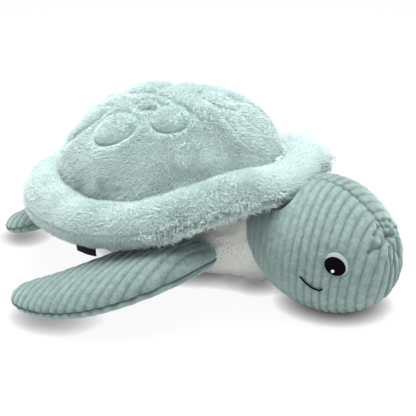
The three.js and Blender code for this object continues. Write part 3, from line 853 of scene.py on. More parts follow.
def quilt_dome(context, mesh):
    """Shapes the dome's cloth and lays its threads, and gives its smooth normals and its lines."""
    shell = context.scene.turtle_shell
    place_points(mesh, dome_points(shell, points_of(mesh)))
    close_form(mesh)
    smooth = points_of(mesh)
    normals = normals_of(mesh)
    pull, line = quilting(shell, smooth)
    up = smooth_step(0.02, 0.3, normals[:, 2])
    pull = pull * up - context.scene.turtle_cloth.pile_sink
    pull += lumps(smooth, (1.8, 42, 3), (0.8, 16, 5), (0.4, 6, 7))
    place_points(mesh, smooth + normals * pull[:, None])
    quilting_threads(context, mesh, smooth)
    return normals, line * up


def comb_dome(shell, mesh, normals, line):
    """Keeps how the dome's fur lies, how long it is, its painted shade, darkest in the quilting lines, and
    where its clumps are.
    """
    points = points_of(mesh)
    down = unit(points - np.array([NECK.x + shell.dome_forward, 0, shell.rim_height]))
    down[:, 2] -= 1.3
    outside = smooth_step(-0.35, -0.05, normals[:, 2])
    low = smooth_step(0.45, 0.1, (points[:, 2] - shell.rim_height) / shell.dome_rise)
    ahead = (points[:, 0] - NECK.x - shell.dome_forward) / shell.dome_half_length
    long = 0.7 + 0.4 * low + 0.12 * soft_noise(points, 30 * MM, 13)
    keep(mesh, "comb", down * 0.5 + vector_noise(points, 16 * MM, 11) * (0.3 + 0.5 * low)[:, None])
    keep(mesh, "pile", outside * long * (1 - 0.55 * line))
    # Painted shade: the cloth between the tufts is darker than their tips, most of all in the quilting
    # lines
    keep(mesh, "tip", 0.6 - 0.4 * line)
    keep(mesh, "clump", outside * low * smooth_step(-0.2, 0.3, ahead))


class TURTLE_OT_dome(bpy.types.Operator):
    """Makes the quilted fur dome of the shell"""
    bl_idname = "turtle.dome"
    bl_label = "Shell dome"

    def execute(self, context):
        form = bmesh.new()
        bmesh.ops.create_icosphere(form, subdivisions=7, radius=1)
        half_ball(form, 1, 2)
        dome = new_piece("shell_dome", form, "mint fur")
        normals, line = quilt_dome(context, dome.data)
        comb_dome(context.scene.turtle_shell, dome.data, normals, line)
        grow_shell_fur(context, dome, DOME_PILE, 19, 21)
        attach(dome, "root", ["shell_dome_cover", "body_stuffing"])
        return {"FINISHED"}


def rim_points(shell, around, section, grow):
    """Places on the rim's tube, for angles round the shell and round its section."""
    out = (shell.tube_half_width + grow) * np.cos(section)
    height = np.where(section < 0, under_height(shell, around), shell.tube_half_height)
    up = (height + grow) * np.sin(section)
    drawn = shell.rim_half_length - shell.front_draw * at_head(shell, around)
    return np.stack([
        NECK.x + shell.rim_forward + (drawn + out) * np.cos(around),
        (shell.rim_half_width + out) * np.sin(around),
        rim_line(shell, around) + up,
    ], axis=1)


# Faces round the rim and round half of its section, and the section's radius in its unit ring
RIM_STEPS = 330
RIM_SIDES = 30
SECTION_RADIUS = 0.5


def ring_form(side):
    """A half tube bent round a unit circle, upper or lower, closed by a flat side."""
    form = bmesh.new()
    for k in range(RIM_SIDES + 1):
        angle = side * math.pi * k / RIM_SIDES
        form.verts.new((1 + SECTION_RADIUS * math.cos(angle), 0, SECTION_RADIUS * math.sin(angle)))
    form.verts.ensure_lookup_table()
    ring = form.verts[:]
    for first, second in zip(ring, ring[1:] + ring[:1]):
        form.edges.new((first, second))
    spin_round(form, RIM_STEPS)
    return form


def rim_cloth(shell, sink, around, out, up):
    """Places on one half of the rim, for places round the shell and in the section of its unit ring."""
    section = np.arctan2(up, out)
    skin = rim_points(shell, around, section, -sink)
    outer = rim_points(shell, around, 0, -sink)
    inner = rim_points(shell, around, math.pi, -sink)
    share_in = ((1 - out / SECTION_RADIUS) / 2)[:, None]
    flat = (np.hypot(out, up) < 0.9 * SECTION_RADIUS)[:, None]
    return np.where(flat, outer * (1 - share_in) + inner * share_in, skin), section


def comb_rim(shell, mesh, around, section, skin, seed):
    """Keeps how the rim's fur lies, how long it is, the painted shade of the cloth between its tufts, and
    where its clumps are.
    """
    points = points_of(mesh)
    outward = np.stack([np.cos(around), np.sin(around), np.zeros(len(around))], axis=1)
    comb = outward * 0.4 + vector_noise(points, 17 * MM, seed + 3) * 0.35
    comb[:, 2] -= 0.4
    beside = smooth_step(0.1, 0.4, np.abs(around)) * smooth_step(1.5, 1.0, np.abs(around))
    long = 0.75 + 0.4 * beside * smooth_step(0.1, -0.5, section)
    long += 0.12 * soft_noise(points, 30 * MM, seed + 6)
    long *= 1 - 0.4 * at_head(shell, around)
    edge = beside * smooth_step(0.7, 0.1, section) * smooth_step(-2.6, -1.6, section)
    keep(mesh, "comb", comb)
    keep(mesh, "pile", np.where(skin, long, 0))
    # Painted shade: the cloth between the tufts is darker than their tips
    keep(mesh, "tip", np.full(len(points), 0.6))
    keep(mesh, "clump", np.where(skin, edge, 0))


def rim_half(context, name, side, nodes, seed):
    """Upper or lower fur half of the rim."""
    shell = context.scene.turtle_shell
    piece = new_piece(name, ring_form(side), "mint fur")
    mesh = piece.data
    circle = points_of(mesh)
    around = np.arctan2(circle[:, 1], circle[:, 0])
    out = np.hypot(circle[:, 0], circle[:, 1]) - 1
    sink = context.scene.turtle_cloth.pile_sink
    points, section = rim_cloth(shell, sink, around, out, circle[:, 2])
    place_points(mesh, points)
    skin = np.abs(circle[:, 2]) > 0.01
    swell = skin * lumps(points, (2, 42, seed), (0.9, 14, seed + 1), (0.4, 6, seed + 2))
    place_points(mesh, points + normals_of(mesh) * swell[:, None])
    comb_rim(shell, mesh, around, section, skin, seed)
    grow_shell_fur(context, piece, RIM_PILE, seed + 15, seed + 20)
    attach(piece, "root", nodes)


class TURTLE_OT_rim(bpy.types.Operator):
    """Makes the two fur halves of the stuffed rim"""
    bl_idname = "turtle.rim"
    bl_label = "Shell rim"

    def execute(self, context):
        rim_half(context, "shell_rim_top", 1, ["shell_rim_top_cover", "rim_stuffing"], 31)
        rim_half(context, "shell_rim_under", -1, ["shell_rim_under_cover"], 51)
        return {"FINISHED"}


# Belly

def bowl_points(belly, ball):
    """Places on the belly's bowl for the points of a unit ball."""
    across = np.hypot(ball[:, 0], ball[:, 1])
    around = np.arctan2(ball[:, 1], ball[:, 0])
    over = ball[:, 2] > 0
    spread = np.where(over, across ** belly.shoulder, across)
    rise = np.where(over, belly.top_rise, belly.height) * ball[:, 2]
    return np.stack([
        NECK.x + belly.forward + belly.half_length * np.cos(around) * spread,
        belly.half_width * np.sin(around) * spread,
        belly.height + rise,
    ], axis=1)


def belly_form(belly):
    """The belly's bowl and its neck, melted into one smooth form."""
    form = bmesh.new()
    bmesh.ops.create_icosphere(form, subdivisions=6, radius=1)
    piece = new_piece("belly", form, "white fur")
    place_points(piece.data, bowl_points(belly, points_of(piece.data)))
    form = bmesh.new()
    form.from_mesh(piece.data)
    neck = Matrix.Translation(NECK)
    bmesh.ops.create_icosphere(form, subdivisions=5, radius=belly.neck_radius, matrix=neck)
    form.to_mesh(piece.data)
    form.free()
    remesh = piece.modifiers.new("remesh", "REMESH")
    remesh.mode = "VOXEL"
    remesh.voxel_size = belly.remesh
    piece.modifiers.new("smooth", "SMOOTH").iterations = 12
    apply_modifiers(piece)
    shade_faces(piece.data, True)
    return piece


def belly_relief(points):
    """Unevenness of the belly, with upright folds at the neck."""
    relief = lumps(points, (1.5, 30, 71), (0.9, 12, 72)) - 2 * MM
    relief += lumps(points * np.array([1, 1, 3]), (0.8, 16, 73))
    at_neck = smooth_step(-60 * MM, -20 * MM, points[:, 0] - NECK.x)
    folds = soft_noise(points * np.array([1.8, 0.5, 1]), 14 * MM, 74)
    return relief + 2 * MM * at_neck * np.where(folds > 0, folds, 0.4 * folds)


class TURTLE_OT_belly(bpy.types.Operator):
    """Makes the white fur belly with its neck"""
    bl_idname = "turtle.belly"
    bl_label = "Belly"

    def execute(self, context):
        cloth = context.scene.turtle_cloth
        piece = belly_form(context.scene.turtle_belly)
        mesh = piece.data
        points = points_of(mesh)
        normals = normals_of(mesh)
        points = on_floor(points + normals * belly_relief(points)[:, None], 0.6 * MM)
        place_points(mesh, points)
        down = normals * np.array([0.3, 0.3, 0])
        down[:, 2] -= 0.8
        shown = smooth_step(118 * MM, 100 * MM, points[:, 2]) * smooth_step(-0.9, -0.5, normals[:, 2])
        fringe = smooth_step(12 * MM, 3 * MM, points[:, 2])
        keep(mesh, "comb", down + vector_noise(points, 12 * MM, 75) * 0.4)
        keep(mesh, "pile", shown * (1 + 0.9 * fringe))
        # Painted shade: the cloth between the belly's tufts is a little darker than their tips
        keep(mesh, "tip", np.full(len(points), 0.7))
        grow_fur(piece, "pile", BELLY_PILE, cloth.belly_pile, cloth.belly_pile_width, 77)
        attach(piece, "root", ["belly_cover"])
        return {"FINISHED"}


# Corduroy

# Least height of the head and the flippers over the floor
FLOOR_GAP = 0.3 * MM
# Exponent of a wale's section: round crests and narrow grooves
WALE_ROUNDNESS = 0.45
# How far back the crown goes down from where it is free to where it is pressed most
CROWN_FADE = 60 * MM
# How far round the eye's white its stitches press the wales flat
EYE_MARGIN = 1.5 * MM


def wale_profile(along, pitch):
    """0 in a groove and 1 on the crest of a wale, at lengths along the cloth."""
    return np.abs(np.sin(math.pi * along / pitch)) ** WALE_ROUNDNESS


def head_frame(head):
    """Middle and stretch of the head's egg: a unit ball's point times the stretch, from the middle."""
    middle = Vector((NECK.x + head.forward, 0, head.height))
    stretch = Matrix.Rotation(head.slope, 3, "Y") @ Matrix.Diagonal(
        (head.half_length, head.half_width, head.half_height)
    )
    return np.array(middle), np.array(stretch)


def upright_ball(stretch, ball):
    """Turns a ball whose poles lie along X, so that its rings lie in upright planes of the egg."""
    pole = Vector(stretch[0]).normalized()
    spin = Vector((1, 0, 0)).rotation_difference(pole).to_matrix()
    return ball @ np.array(spin).T


def wale_length(head, points):
    """Length along the head to the wale on which a point lies, from a groove.

    The wales stand upright, bowed back at the crown and the chin, and close up beside the front seam.
    """
    bowed = (points[:, 2] - head.wale_level) ** 2 / head.wale_bow
    ahead = points[:, 0] - NECK.x - head.wale_start + bowed
    beside = np.maximum(head.nose_width - np.abs(points[:, 1]), 0)
    on_nose = smooth_step(head.nose_start - 9 * MM, head.nose_start + 4 * MM, ahead + head.wale_start)
    return ahead + head.nose_closing * beside * on_nose


def head_point(head, forward, height, side, proud):
    """Places on the head's skin, straight out from points of its middle plane, and the way out."""
    middle, stretch = head_frame(head)
    plane = np.stack([NECK.x + forward - middle[0], np.zeros_like(forward), height - middle[2]], axis=1)
    inside = plane @ np.linalg.inv(stretch).T
    rest = np.sqrt(np.clip(1 - inside[:, 0] ** 2 - inside[:, 2] ** 2, 0, 1))
    inside[:, 1] = side * rest
    normal = unit(inside @ np.linalg.inv(stretch))
    return middle + inside @ stretch.T + normal * np.asarray(proud)[:, None], normal


def eye_mask(context, points):
    """1 where the eye's stitches press the wales flat, falling to 0 around it."""
    face = context.scene.turtle_face
    ahead = points[:, 0] - NECK.x - face.white_forward
    up = points[:, 2] - face.white_height
    cosine, sine = math.cos(face.white_turn), math.sin(face.white_turn)
    long = (ahead * cosine - up * sine) / (face.white_half_length + EYE_MARGIN)
    wide = (ahead * sine + up * cosine) / (face.white_half_width + EYE_MARGIN)
    return smooth_step(1.25, 0.95, np.hypot(long, wide))


# Creases and bumps where the front seam is gathered, on one side: how far out and up from the gathered
# place, as shares of its radius
CREASE_SHARES = (
    ((0.3, 0), (0.75, -0.12), (1.04, -0.12), (1.33, -0.2)),
    ((0.29, 0.5), (0.54, 0.37), (0.83, 0.29)),
    ((0.25, 0.42), (0.33, 0.17), (0.17, 0.04)),
    ((0.37, -0.25), (0.42, -0.54), (0.4, -0.92), (0.46, -1.54), (0.33, -2.3)),
)
BUMP_SHARES = ((0.87, 0.08), (0.54, -0.2), (0.42, 0.24), (0.12, -0.25), (0.7, -0.45))
DIMPLE_SHARE = 0.2


def gathering(head, points):
    """Height of the creases and bumps over the smooth egg, and how much each point lies in a crease."""
    out = np.abs(points[:, 1]) / head.pucker_radius
    up = (points[:, 2] - head.pucker_height) / head.pucker_radius
    front = smooth_step(-22 * MM, -10 * MM, points[:, 0] - NECK.x - head.pucker_forward)
    here = np.stack([out, up], axis=1)
    crease = np.zeros(len(points))
    for line in CREASE_SHARES:
        for first, second in zip(line, line[1:]):
            far = segment_distance(here, np.array(first), np.array(second)) * head.pucker_radius
            crease = np.maximum(crease, bell(far, head.crease_width))
    height = -head.crease_depth * crease - head.pucker_depth * bell(np.hypot(out, up), DIMPLE_SHARE)
    for bump in BUMP_SHARES:
        far = np.linalg.norm(here - np.array(bump), axis=1) * head.pucker_radius
        height += head.bump_height * bell(far, head.bump_radius)
    return front * height, front * crease


def head_relief(context, points, side):
    """Height of the wales, the seam and the gathered place over the smooth egg, and their painted shade.
    """
    head = context.scene.turtle_head
    cloth = context.scene.turtle_cloth
    along = wale_length(head, points) + lumps(points * np.array([1, 1, 0.5]), (0.8, 34, 81))
    along += head.wale_pitch * 0.45 if side == LEFT else 0
    wale = wale_profile(along, head.wale_pitch)
    from_seam = np.abs(points[:, 1])
    ends = smooth_step(0, 2.2 * MM, from_seam - 1.2 * MM * (1.3 - wale))
    eye = eye_mask(context, points)
    wale_fullness = 0.4 + 0.6 * smooth_step(50 * MM, 85 * MM, points[:, 0] - NECK.x)
    depth = cloth.wale_depth * wale_fullness * (1 + 0.3 * soft_noise(points, 40 * MM, 86))
    relief = depth * (wale * ends - 1) * (1 - eye) - 0.5 * depth * eye
    seam = bell(from_seam, cloth.seam_width)
    above_chin = smooth_step(15 * MM, 45 * MM, points[:, 2])
    valley = bell(from_seam, head.valley_width) * above_chin
    gathered, crease = gathering(head, points)
    relief += gathered - cloth.seam_depth * seam - head.valley_depth * valley
    relief += lumps(points, (1.2, 40, 84), (0.25, 4, 85))
    # Painted shade: darker in the grooves, along the seam and in the creases, an even middle tone under
    # the eye
    shade = (wale * (0.4 + 0.6 * ends) * (1 - eye) + 0.7 * eye) * (1 - 0.5 * seam) * (1 - 0.6 * crease)
    # Less painted shade where the wales are shallow at the back of the head
    return relief, 1 - wale_fullness * (1 - shade)


def out_of_rim(context, points, hidden_only):
    """Presses the head's cloth down out of the rim's tube, everywhere or only where the rim hides it."""
    shell = context.scene.turtle_shell
    head = context.scene.turtle_head
    width = shell.tube_half_width + head.rim_room
    ahead = points[:, 0] - NECK.x - shell.rim_forward
    around = np.arctan2(points[:, 1] / shell.rim_half_width, ahead / shell.rim_half_length)
    line = rim_points(shell, around, math.pi / 2, -shell.tube_half_height)
    from_middle = np.hypot(line[:, 0] - NECK.x - shell.rim_forward, line[:, 1])
    out = np.hypot(ahead, points[:, 1]) - from_middle
    rise = points[:, 2] - line[:, 2]
    inside = (np.abs(out) < width) & (rise < shell.tube_half_height)
    height = under_height(shell, around) + head.rim_room
    tube_floor = -height * np.sqrt(np.clip(1 - (out / width) ** 2, 0, 1))
    press = np.where(inside, np.minimum(tube_floor - rise, 0), 0)
    if hidden_only:
        press = press * smooth_step(width - 0.3 * head.hidden_depth, width - head.hidden_depth, out)
    points[:, 2] += press
    return points


def clear_of_rim(context, points):
    """Keeps the head's cloth out of the rim at rest and, where it is hidden, as it lifts and turns."""
    turned = math.radians(JOINTS["head_turn"]["range_deg"][1])
    lift = math.radians(JOINTS["head_lift"]["range_deg"][1])
    free = turned * context.scene.turtle_head.free_turn_share
    neck = np.array(NECK)
    poses = [(0, way * free, False) for way in (-1, 0, 1)]
    poses += [(up, way * turned, True) for up in (0, lift) for way in (-1, 0, 1)]
    for up, way, hidden_only in poses:
        lifted = Matrix.Rotation(up, 3, JOINTS["head_lift"]["axis"])
        pose = np.array(lifted @ Matrix.Rotation(way, 3, "Z"))
        posed = out_of_rim(context, (points - neck) @ pose.T + neck, hidden_only)
        points = (posed - neck) @ pose + neck
    return points


def head_half(context, name, side):
    """Right or left corduroy half of the head."""
    head = context.scene.turtle_head
    piece = half_sphere("head_" + name, head, side, 1)
    mesh = piece.data
    middle, stretch = head_frame(head)
    points = middle + upright_ball(stretch, unit(points_of(mesh))) @ stretch.T
    place_points(mesh, points)
    close_form(mesh)
    normals = unit((points - middle) @ np.linalg.inv(stretch).T @ np.linalg.inv(stretch))
    relief, shade = head_relief(context, points, side)
    pressed = smooth_step(head.crown_start, head.crown_start - CROWN_FADE, points[:, 0] - NECK.x)
    points[:, 2] -= head.crown_drop * pressed * smooth_step(-0.2, 0.9, normals[:, 2])
    points = on_floor(clear_of_rim(context, points) + normals * relief[:, None], FLOOR_GAP)
    points[:, 1] = side * np.maximum(side * points[:, 1], 0)
    place_points(mesh, points)
    # Painted shade of the wales, the seam and the creases, for the corduroy's colour
    keep(mesh, "wale", shade)
    return piece


class TURTLE_OT_head(bpy.types.Operator):
    """Makes the two corduroy halves of the head"""
    bl_idname = "turtle.head"
    bl_label = "Head"

    def execute(self, context):
        for name, side in SIDES:
            nodes = [f"head_cover_{name}"] + (["head_stuffing"] if side == RIGHT else [])
            attach(head_half(context, name, side), "head", nodes)
        return {"FINISHED"}


# Face

def stitched_patch(context, name, side, patch):
    """A lens of satin stitches that lies on the head's skin."""
    material, forward, height, half_length, half_width, turned, layer_share = patch
    thread = context.scene.turtle_face.thread
    form = bmesh.new()
    bmesh.ops.create_uvsphere(form, u_segments=48, v_segments=16, radius=1)
    piece = new_piece(name, form, material)
    ball = points_of(piece.data)
    rise = np.sign(ball[:, 2]) * np.abs(ball[:, 2]) ** 0.7
    cosine, sine = math.cos(turned), math.sin(turned)
    forward = forward + half_length * ball[:, 0] * cosine + half_width * ball[:, 1] * sine
    height = height - half_length * ball[:, 0] * sine + half_width * ball[:, 1] * cosine
    proud = thread * (layer_share + rise / 2)
    place_points(piece.data, head_point(context.scene.turtle_head, forward, height, side, proud)[0])
    close_form(piece.data)
    return piece


# Points along a smile's line
SMILE_STEPS = 40


def stitch_tube(name, line, normal, thickness):
    """A tube of close stitches along a line on the skin."""
    form = bmesh.new()
    bmesh.ops.create_cone(form, segments=10, radius1=1, radius2=1, depth=2, cap_ends=True)
    upright = [edge for edge in form.edges if abs(edge.verts[0].co.z - edge.verts[1].co.z) > 1]
    bmesh.ops.subdivide_edges(form, edges=upright, cuts=len(line) - 2, use_grid_fill=False)
    piece = new_piece(name, form, "dark thread")
    tube = points_of(piece.data)
    last = len(line) - 1
    place = np.clip(np.rint((tube[:, 2] + 1) / 2 * last).astype(int), 0, last)
    across = unit(np.cross(normal, unit(np.gradient(line, axis=0))))
    swell = 1 + 0.12 * np.cos(place * 2.1)
    radius = 0.5 * thickness * swell * np.where((place == 0) | (place == last), 0.55, 1)
    out = across[place] * (tube[:, 0] * radius)[:, None]
    up = normal[place] * (tube[:, 1] * radius)[:, None]
    place_points(piece.data, line[place] + out + up)
    return piece


def smile_line(context, name, side):
    """A line of close stitches, curved like a smile."""
    face = context.scene.turtle_face
    along = np.linspace(-1, 1, SMILE_STEPS)
    forward = face.smile_forward + face.smile_half_length * along
    height = face.smile_height + face.smile_rise * ((1 - along) / 2) ** 2.2
    height += face.smile_tick * smooth_step(0.7, 1, along)
    proud = np.full(SMILE_STEPS, 0.25 * face.smile_thickness)
    line, normal = head_point(context.scene.turtle_head, forward, height, side, proud)
    return stitch_tube(name, line, normal, face.smile_thickness)


def eye_patches(face):
    """Thread, place, half sizes and turn of each patch, and its height in thicknesses of a stitch."""
    return {
        "eye_white": (
            "white thread", face.white_forward, face.white_height,
            face.white_half_length, face.white_half_width, face.white_turn, 0,
        ),
        "pupil": (
            "dark thread", face.pupil_forward, face.pupil_height,
            face.pupil_half_length, face.pupil_half_width, face.pupil_turn, 0.5,
        ),
        "glint": (
            "glint thread", face.glint_forward, face.glint_height,
            face.glint_radius, face.glint_radius, 0, 0.95,
        ),
    }


class TURTLE_OT_face(bpy.types.Operator):
    """Makes the embroidered eyes and smile"""
    bl_idname = "turtle.face"
    bl_label = "Face"

    def execute(self, context):
        for name, side in SIDES:
            for word, patch in eye_patches(context.scene.turtle_face).items():
                piece = stitched_patch(context, f"{word}_patch_{name}", side, patch)
                attach(piece, "head", [f"{word}_{name}"])
            smile = smile_line(context, f"smile_line_{name}", side)
            attach(smile, "head", [f"smile_{name}"])
        return {"FINISHED"}


# Flippers

def flipper_points(flipper, shoulder, ball, grow):
    """Places on a right flipper for the points of a ball, and how far each is from its edge, -1 to 1."""
    along = ball[:, 0]
    ring = np.hypot(ball[:, 1], ball[:, 2])
    root = along < 0
    part = np.where(root, 0, np.abs(along) ** 1.2)
    distance = np.where(root, along * flipper.root_length, part * flipper.reach)
    swell = np.sin(np.minimum(1, part * 1.7) * math.pi / 2)
    tip = np.sqrt(np.clip(1 - part ** 3, 0, 1))
    wide = flipper.root_half_width + (flipper.half_width - flipper.root_half_width) * swell
    thinning = (flipper.tip_half_thickness - flipper.root_half_thickness) * part ** 1.5
    thick = flipper.root_half_thickness + thinning
    width = np.where(root, flipper.root_half_width * ring, wide * tip) + grow
    thickness = np.where(root, flipper.root_half_thickness * ring, thick * tip) + grow
    thickness = thickness * np.where(ball[:, 2] < 0, flipper.under_share, 1)
    radius = flipper.reach / flipper.bend
    straight = np.where(root, distance, radius * np.sin(distance / radius))
    aside = np.where(root, 0, radius * (1 - np.cos(distance / radius)))
    turned = flipper.bend * part
    sideways = np.where(ring > 0, ball[:, 1] / np.maximum(ring, 1e-9), 0)
    upwards = np.where(ring > 0, ball[:, 2] / np.maximum(ring, 1e-9), 0)
    line_x = straight - np.sin(turned) * width * sideways
    line_y = aside + np.cos(turned) * width * sideways
    cosine, sine = math.cos(flipper.heading), math.sin(flipper.heading)
    fall = (1 - np.cos(math.pi * part)) / 2
    front = smooth_step(-0.1, 0.9, sideways * width / flipper.root_half_width)
    corner = smooth_step(0.65, 0.05, part) * front
    height = shoulder.z + (flipper.tip_height - shoulder.z) * fall + flipper.corner_lift * corner
    points = np.stack([
        shoulder.x + line_x * cosine - line_y * sine + flipper.corner_reach * corner,
        shoulder.y + line_x * sine + line_y * cosine,
        height + thickness * upwards,
    ], axis=1)
    return points, upwards


def flipper_relief(cloth, flipper, shoulder, points, upwards, over):
    """Height of the wales and the seam over a smooth flipper, and their painted shade."""
    near_edge = np.abs(upwards) * flipper.root_half_thickness
    beside = points[:, 1] - shoulder.y + flipper.fan_side
    ahead = points[:, 0] - shoulder.x + flipper.fan_back
    along = flipper.fan_side * np.arctan2(beside, ahead) + lumps(points, (0.8, 30, 91))
    along += flipper.wale_pitch * 0.5 if over < 0 else 0
    wale = wale_profile(along, flipper.wale_pitch)
    ends = smooth_step(0, 2.5 * MM, near_edge - 1.5 * MM * (1.2 - wale))
    seam = bell(near_edge, 0.7 * cloth.seam_width)
    depth = cloth.wale_depth * (1 + 0.3 * soft_noise(points, 35 * MM, 93))
    relief = depth * (wale * ends - 1) - 0.3 * cloth.seam_depth * seam
    relief += lumps(points, (1.2, 45, 92), (0.25, 4, 94))
    # Painted shade: darker in the grooves and along the seam, and darker overall than the head
    return relief, flipper.crest_shade_share * wale * (0.4 + 0.6 * ends) * (1 - 0.3 * seam)


def flipper_cover(context, flipper, shoulder, name, side, over):
    """Upper or lower corduroy cover of a flipper, closed along the seam round its edge."""
    piece = half_sphere(name, flipper, over, 2)
    mesh = piece.data
    ball = points_of(mesh)
    points, upwards = flipper_points(flipper, shoulder, ball, 0)
    outer = flipper_points(flipper, shoulder, ball, 1 * MM)[0]
    normals = unit(outer - points + np.array([0, 0, 1e-9]))
    relief, shade = flipper_relief(context.scene.turtle_cloth, flipper, shoulder, points, upwards, over)
    points = on_floor(points + normals * relief[:, None], FLOOR_GAP)
    if side == LEFT:
        points[:, 1] *= -1
    place_points(mesh, points)
    close_form(mesh)
    # Painted shade of the wales and the seam, for the corduroy's colour
    keep(mesh, "wale", shade)
    return piece


def flipper_pair(context, prefix, flipper, joint_word):
    shoulder = Vector(JOINTS[f"{prefix}_flipper_right_{joint_word}"]["pos_m"])
    for name, side in SIDES:
        body = f"{prefix}_flipper_{name}"
        covers = (
            ("top", 1, [f"{body}_top_cover", f"{body}_stuffing"]),
            ("bottom", -1, [f"{body}_bottom_cover"]),
        )
        for word, over, nodes in covers:
            cover = flipper_cover(context, flipper, shoulder, f"{body}_{word}", side, over)
            attach(cover, body, nodes)


class TURTLE_OT_flippers(bpy.types.Operator):
    """Makes the corduroy covers of the four flippers"""
    bl_idname = "turtle.flippers"
    bl_label = "Flippers"

    def execute(self, context):
        flipper_pair(context, "front", context.scene.turtle_front, "sweep")
        flipper_pair(context, "rear", context.scene.turtle_rear, "lift")
        return {"FINISHED"}


# Label

# How far the ribbon bends out and waves, how far it is tucked into its seam, and its thickness
RIBBON_BEND = 2.2 * MM
RIBBON_WAVE = 1.2 * MM
RIBBON_TUCK = 2 * MM
RIBBON_THICKNESS = 0.9 * MM


class TURTLE_OT_label(bpy.types.Operator):
    """Makes the plain folded ribbon under the rim"""
    bl_idname = "turtle.label"
    bl_label = "Side label"

    def execute(self, context):
        low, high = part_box("side_label")
        size = high - low
        form = bmesh.new()
        bmesh.ops.create_grid(form, x_segments=18, y_segments=24, size=0.5)
        ribbon = new_piece("side_ribbon", form, "black ribbon")
        mesh = ribbon.data
        flat = points_of(mesh)
        down = 0.5 - flat[:, 1]
        curl = RIBBON_BEND * np.sin(down * 2.6) + RIBBON_WAVE * np.sin(flat[:, 0] * 4 + 1) * down
        points = np.stack([
            low.x + (flat[:, 0] + 0.5) * size.x,
            (low.y + high.y) / 2 - curl,
            high.z - down * size.z + RIBBON_TUCK,
        ], axis=1)
        place_points(mesh, points)
        wall = ribbon.modifiers.new("wall", "SOLIDIFY")
        wall.thickness = RIBBON_THICKNESS
        wall.offset = 0
        apply_modifiers(ribbon)
        attach(ribbon, "root", ["side_label"])
        return {"FINISHED"}


# Materials and stage

class TURTLE_OT_materials(bpy.types.Operator):
    """Makes the materials of the cloths, the fur and the threads"""
    bl_idname = "turtle.materials"
    bl_label = "Materials"

    def execute(self, context):
        cloth = context.scene.turtle_cloth
        face = context.scene.turtle_face
        fur_material("mint fur", cloth.fur_root_shade, cloth.fur_colour, cloth.fur_sheen)
        fur_material("white fur", cloth.belly_root_shade, cloth.belly_colour, cloth.belly_sheen)
        corduroy_material("mint corduroy", cloth.corduroy_groove_shade, cloth.corduroy_colour)
        thread_material("dark thread", face.thread_colour, 400, 0.02)
        thread_material("white thread", face.white_colour, 400, 0.2)
        thread_material("glint thread", face.glint_colour, 400, 0.2)
        thread_material("quilting thread", cloth.thread_colour, 500, 0.2)
        thread_material("black ribbon", cloth.ribbon_colour, 700, 0.2)
        thread_material("neck tape", cloth.belly_colour, 500, 0.2)
        return {"FINISHED"}


class TURTLE_OT_tape(bpy.types.Operator):
    """Gives the neck's tape, inside the head, its woven cloth"""
    bl_idname = "turtle.tape"
    bl_label = "Neck tape"

    def execute(self, context):
        tape = frame["nodes"]["neck_tape"]
        tape.data.materials.clear()
        tape.data.materials.append(bpy.data.materials["neck tape"])
        return {"FINISHED"}


def area_lamp(name, place, target, size, power):
    data = bpy.data.lights.new(name, "AREA")
    data.shape = "DISK"
    data.size = size
    data.energy = power
    lamp = bpy.data.objects.new(name, data)
    bpy.context.scene.collection.objects.link(lamp)
    lamp.location = place
    way = Vector(target) - Vector(place)
    lamp.rotation_euler = way.to_track_quat("-Z", "Y").to_euler()


def seen_directly(tree):
    """1 for what the camera sees, also in a reflection or through glass, and 0 for light that bounces."""
    path = add_node(tree, "ShaderNodeLightPath")
    total = path.outputs["Is Camera Ray"]
    for name in ("Is Glossy Ray", "Is Transmission Ray"):
        more = add_node(tree, "ShaderNodeMath", operation="MAXIMUM")
        join(tree, total, more, 0)
        join(tree, path.outputs[name], more, 1)
        total = more.outputs[0]
    return total


def mixed_shaders(tree, amount, first, second, output):
    mix = add_node(tree, "ShaderNodeMixShader")
    join(tree, amount, mix, "Fac")
    join(tree, first, mix, 1)
    join(tree, second, mix, 2)
    join(tree, mix.outputs["Shader"], tree.nodes[output], "Surface")


def floor_material(shade, whiteness, reach):
    """A pale floor, whitened to the camera, whose light shadow is darker close to a form."""
    tree, shader = new_material("floor", {
        "Roughness": 0.9, "Base Color": (*shade, 1), "Specular IOR Level": 0,
    })
    free = add_node(tree, "ShaderNodeAmbientOcclusion", {"Distance": reach})
    white = add_node(tree, "ShaderNodeEmission")
    join(tree, free.outputs["Color"], white, "Color")
    amount = add_node(tree, "ShaderNodeMath", {1: whiteness}, operation="MULTIPLY")
    join(tree, seen_directly(tree), amount, 0)
    looks = shader.outputs["BSDF"], white.outputs["Emission"]
    mixed_shaders(tree, amount.outputs[0], *looks, "Material Output")


def studio_world(strength):
    """An even pale studio, white where the camera sees it."""
    world = bpy.data.worlds.new("studio")
    bpy.context.scene.world = world
    world.use_nodes = True
    tree = world.node_tree
    light = tree.nodes["Background"]
    light.inputs["Color"].default_value = (1, 1, 1, 1)
    light.inputs["Strength"].default_value = strength
    plain = add_node(tree, "ShaderNodeBackground", {"Color": (1, 1, 1, 1)})
    colours = light.outputs["Background"], plain.outputs["Background"]
    mixed_shaders(tree, seen_directly(tree), *colours, "World Output")


# Place, target and diameter of the lamp above, in metres, and the camera's sensor in millimetres
OVERHEAD_PLACE = (0.03, -0.03, 1.5)
OVERHEAD_TARGET = (0.03, 0, 0.08)
OVERHEAD_SIZE = 1.3
SENSOR_WIDTH = 36


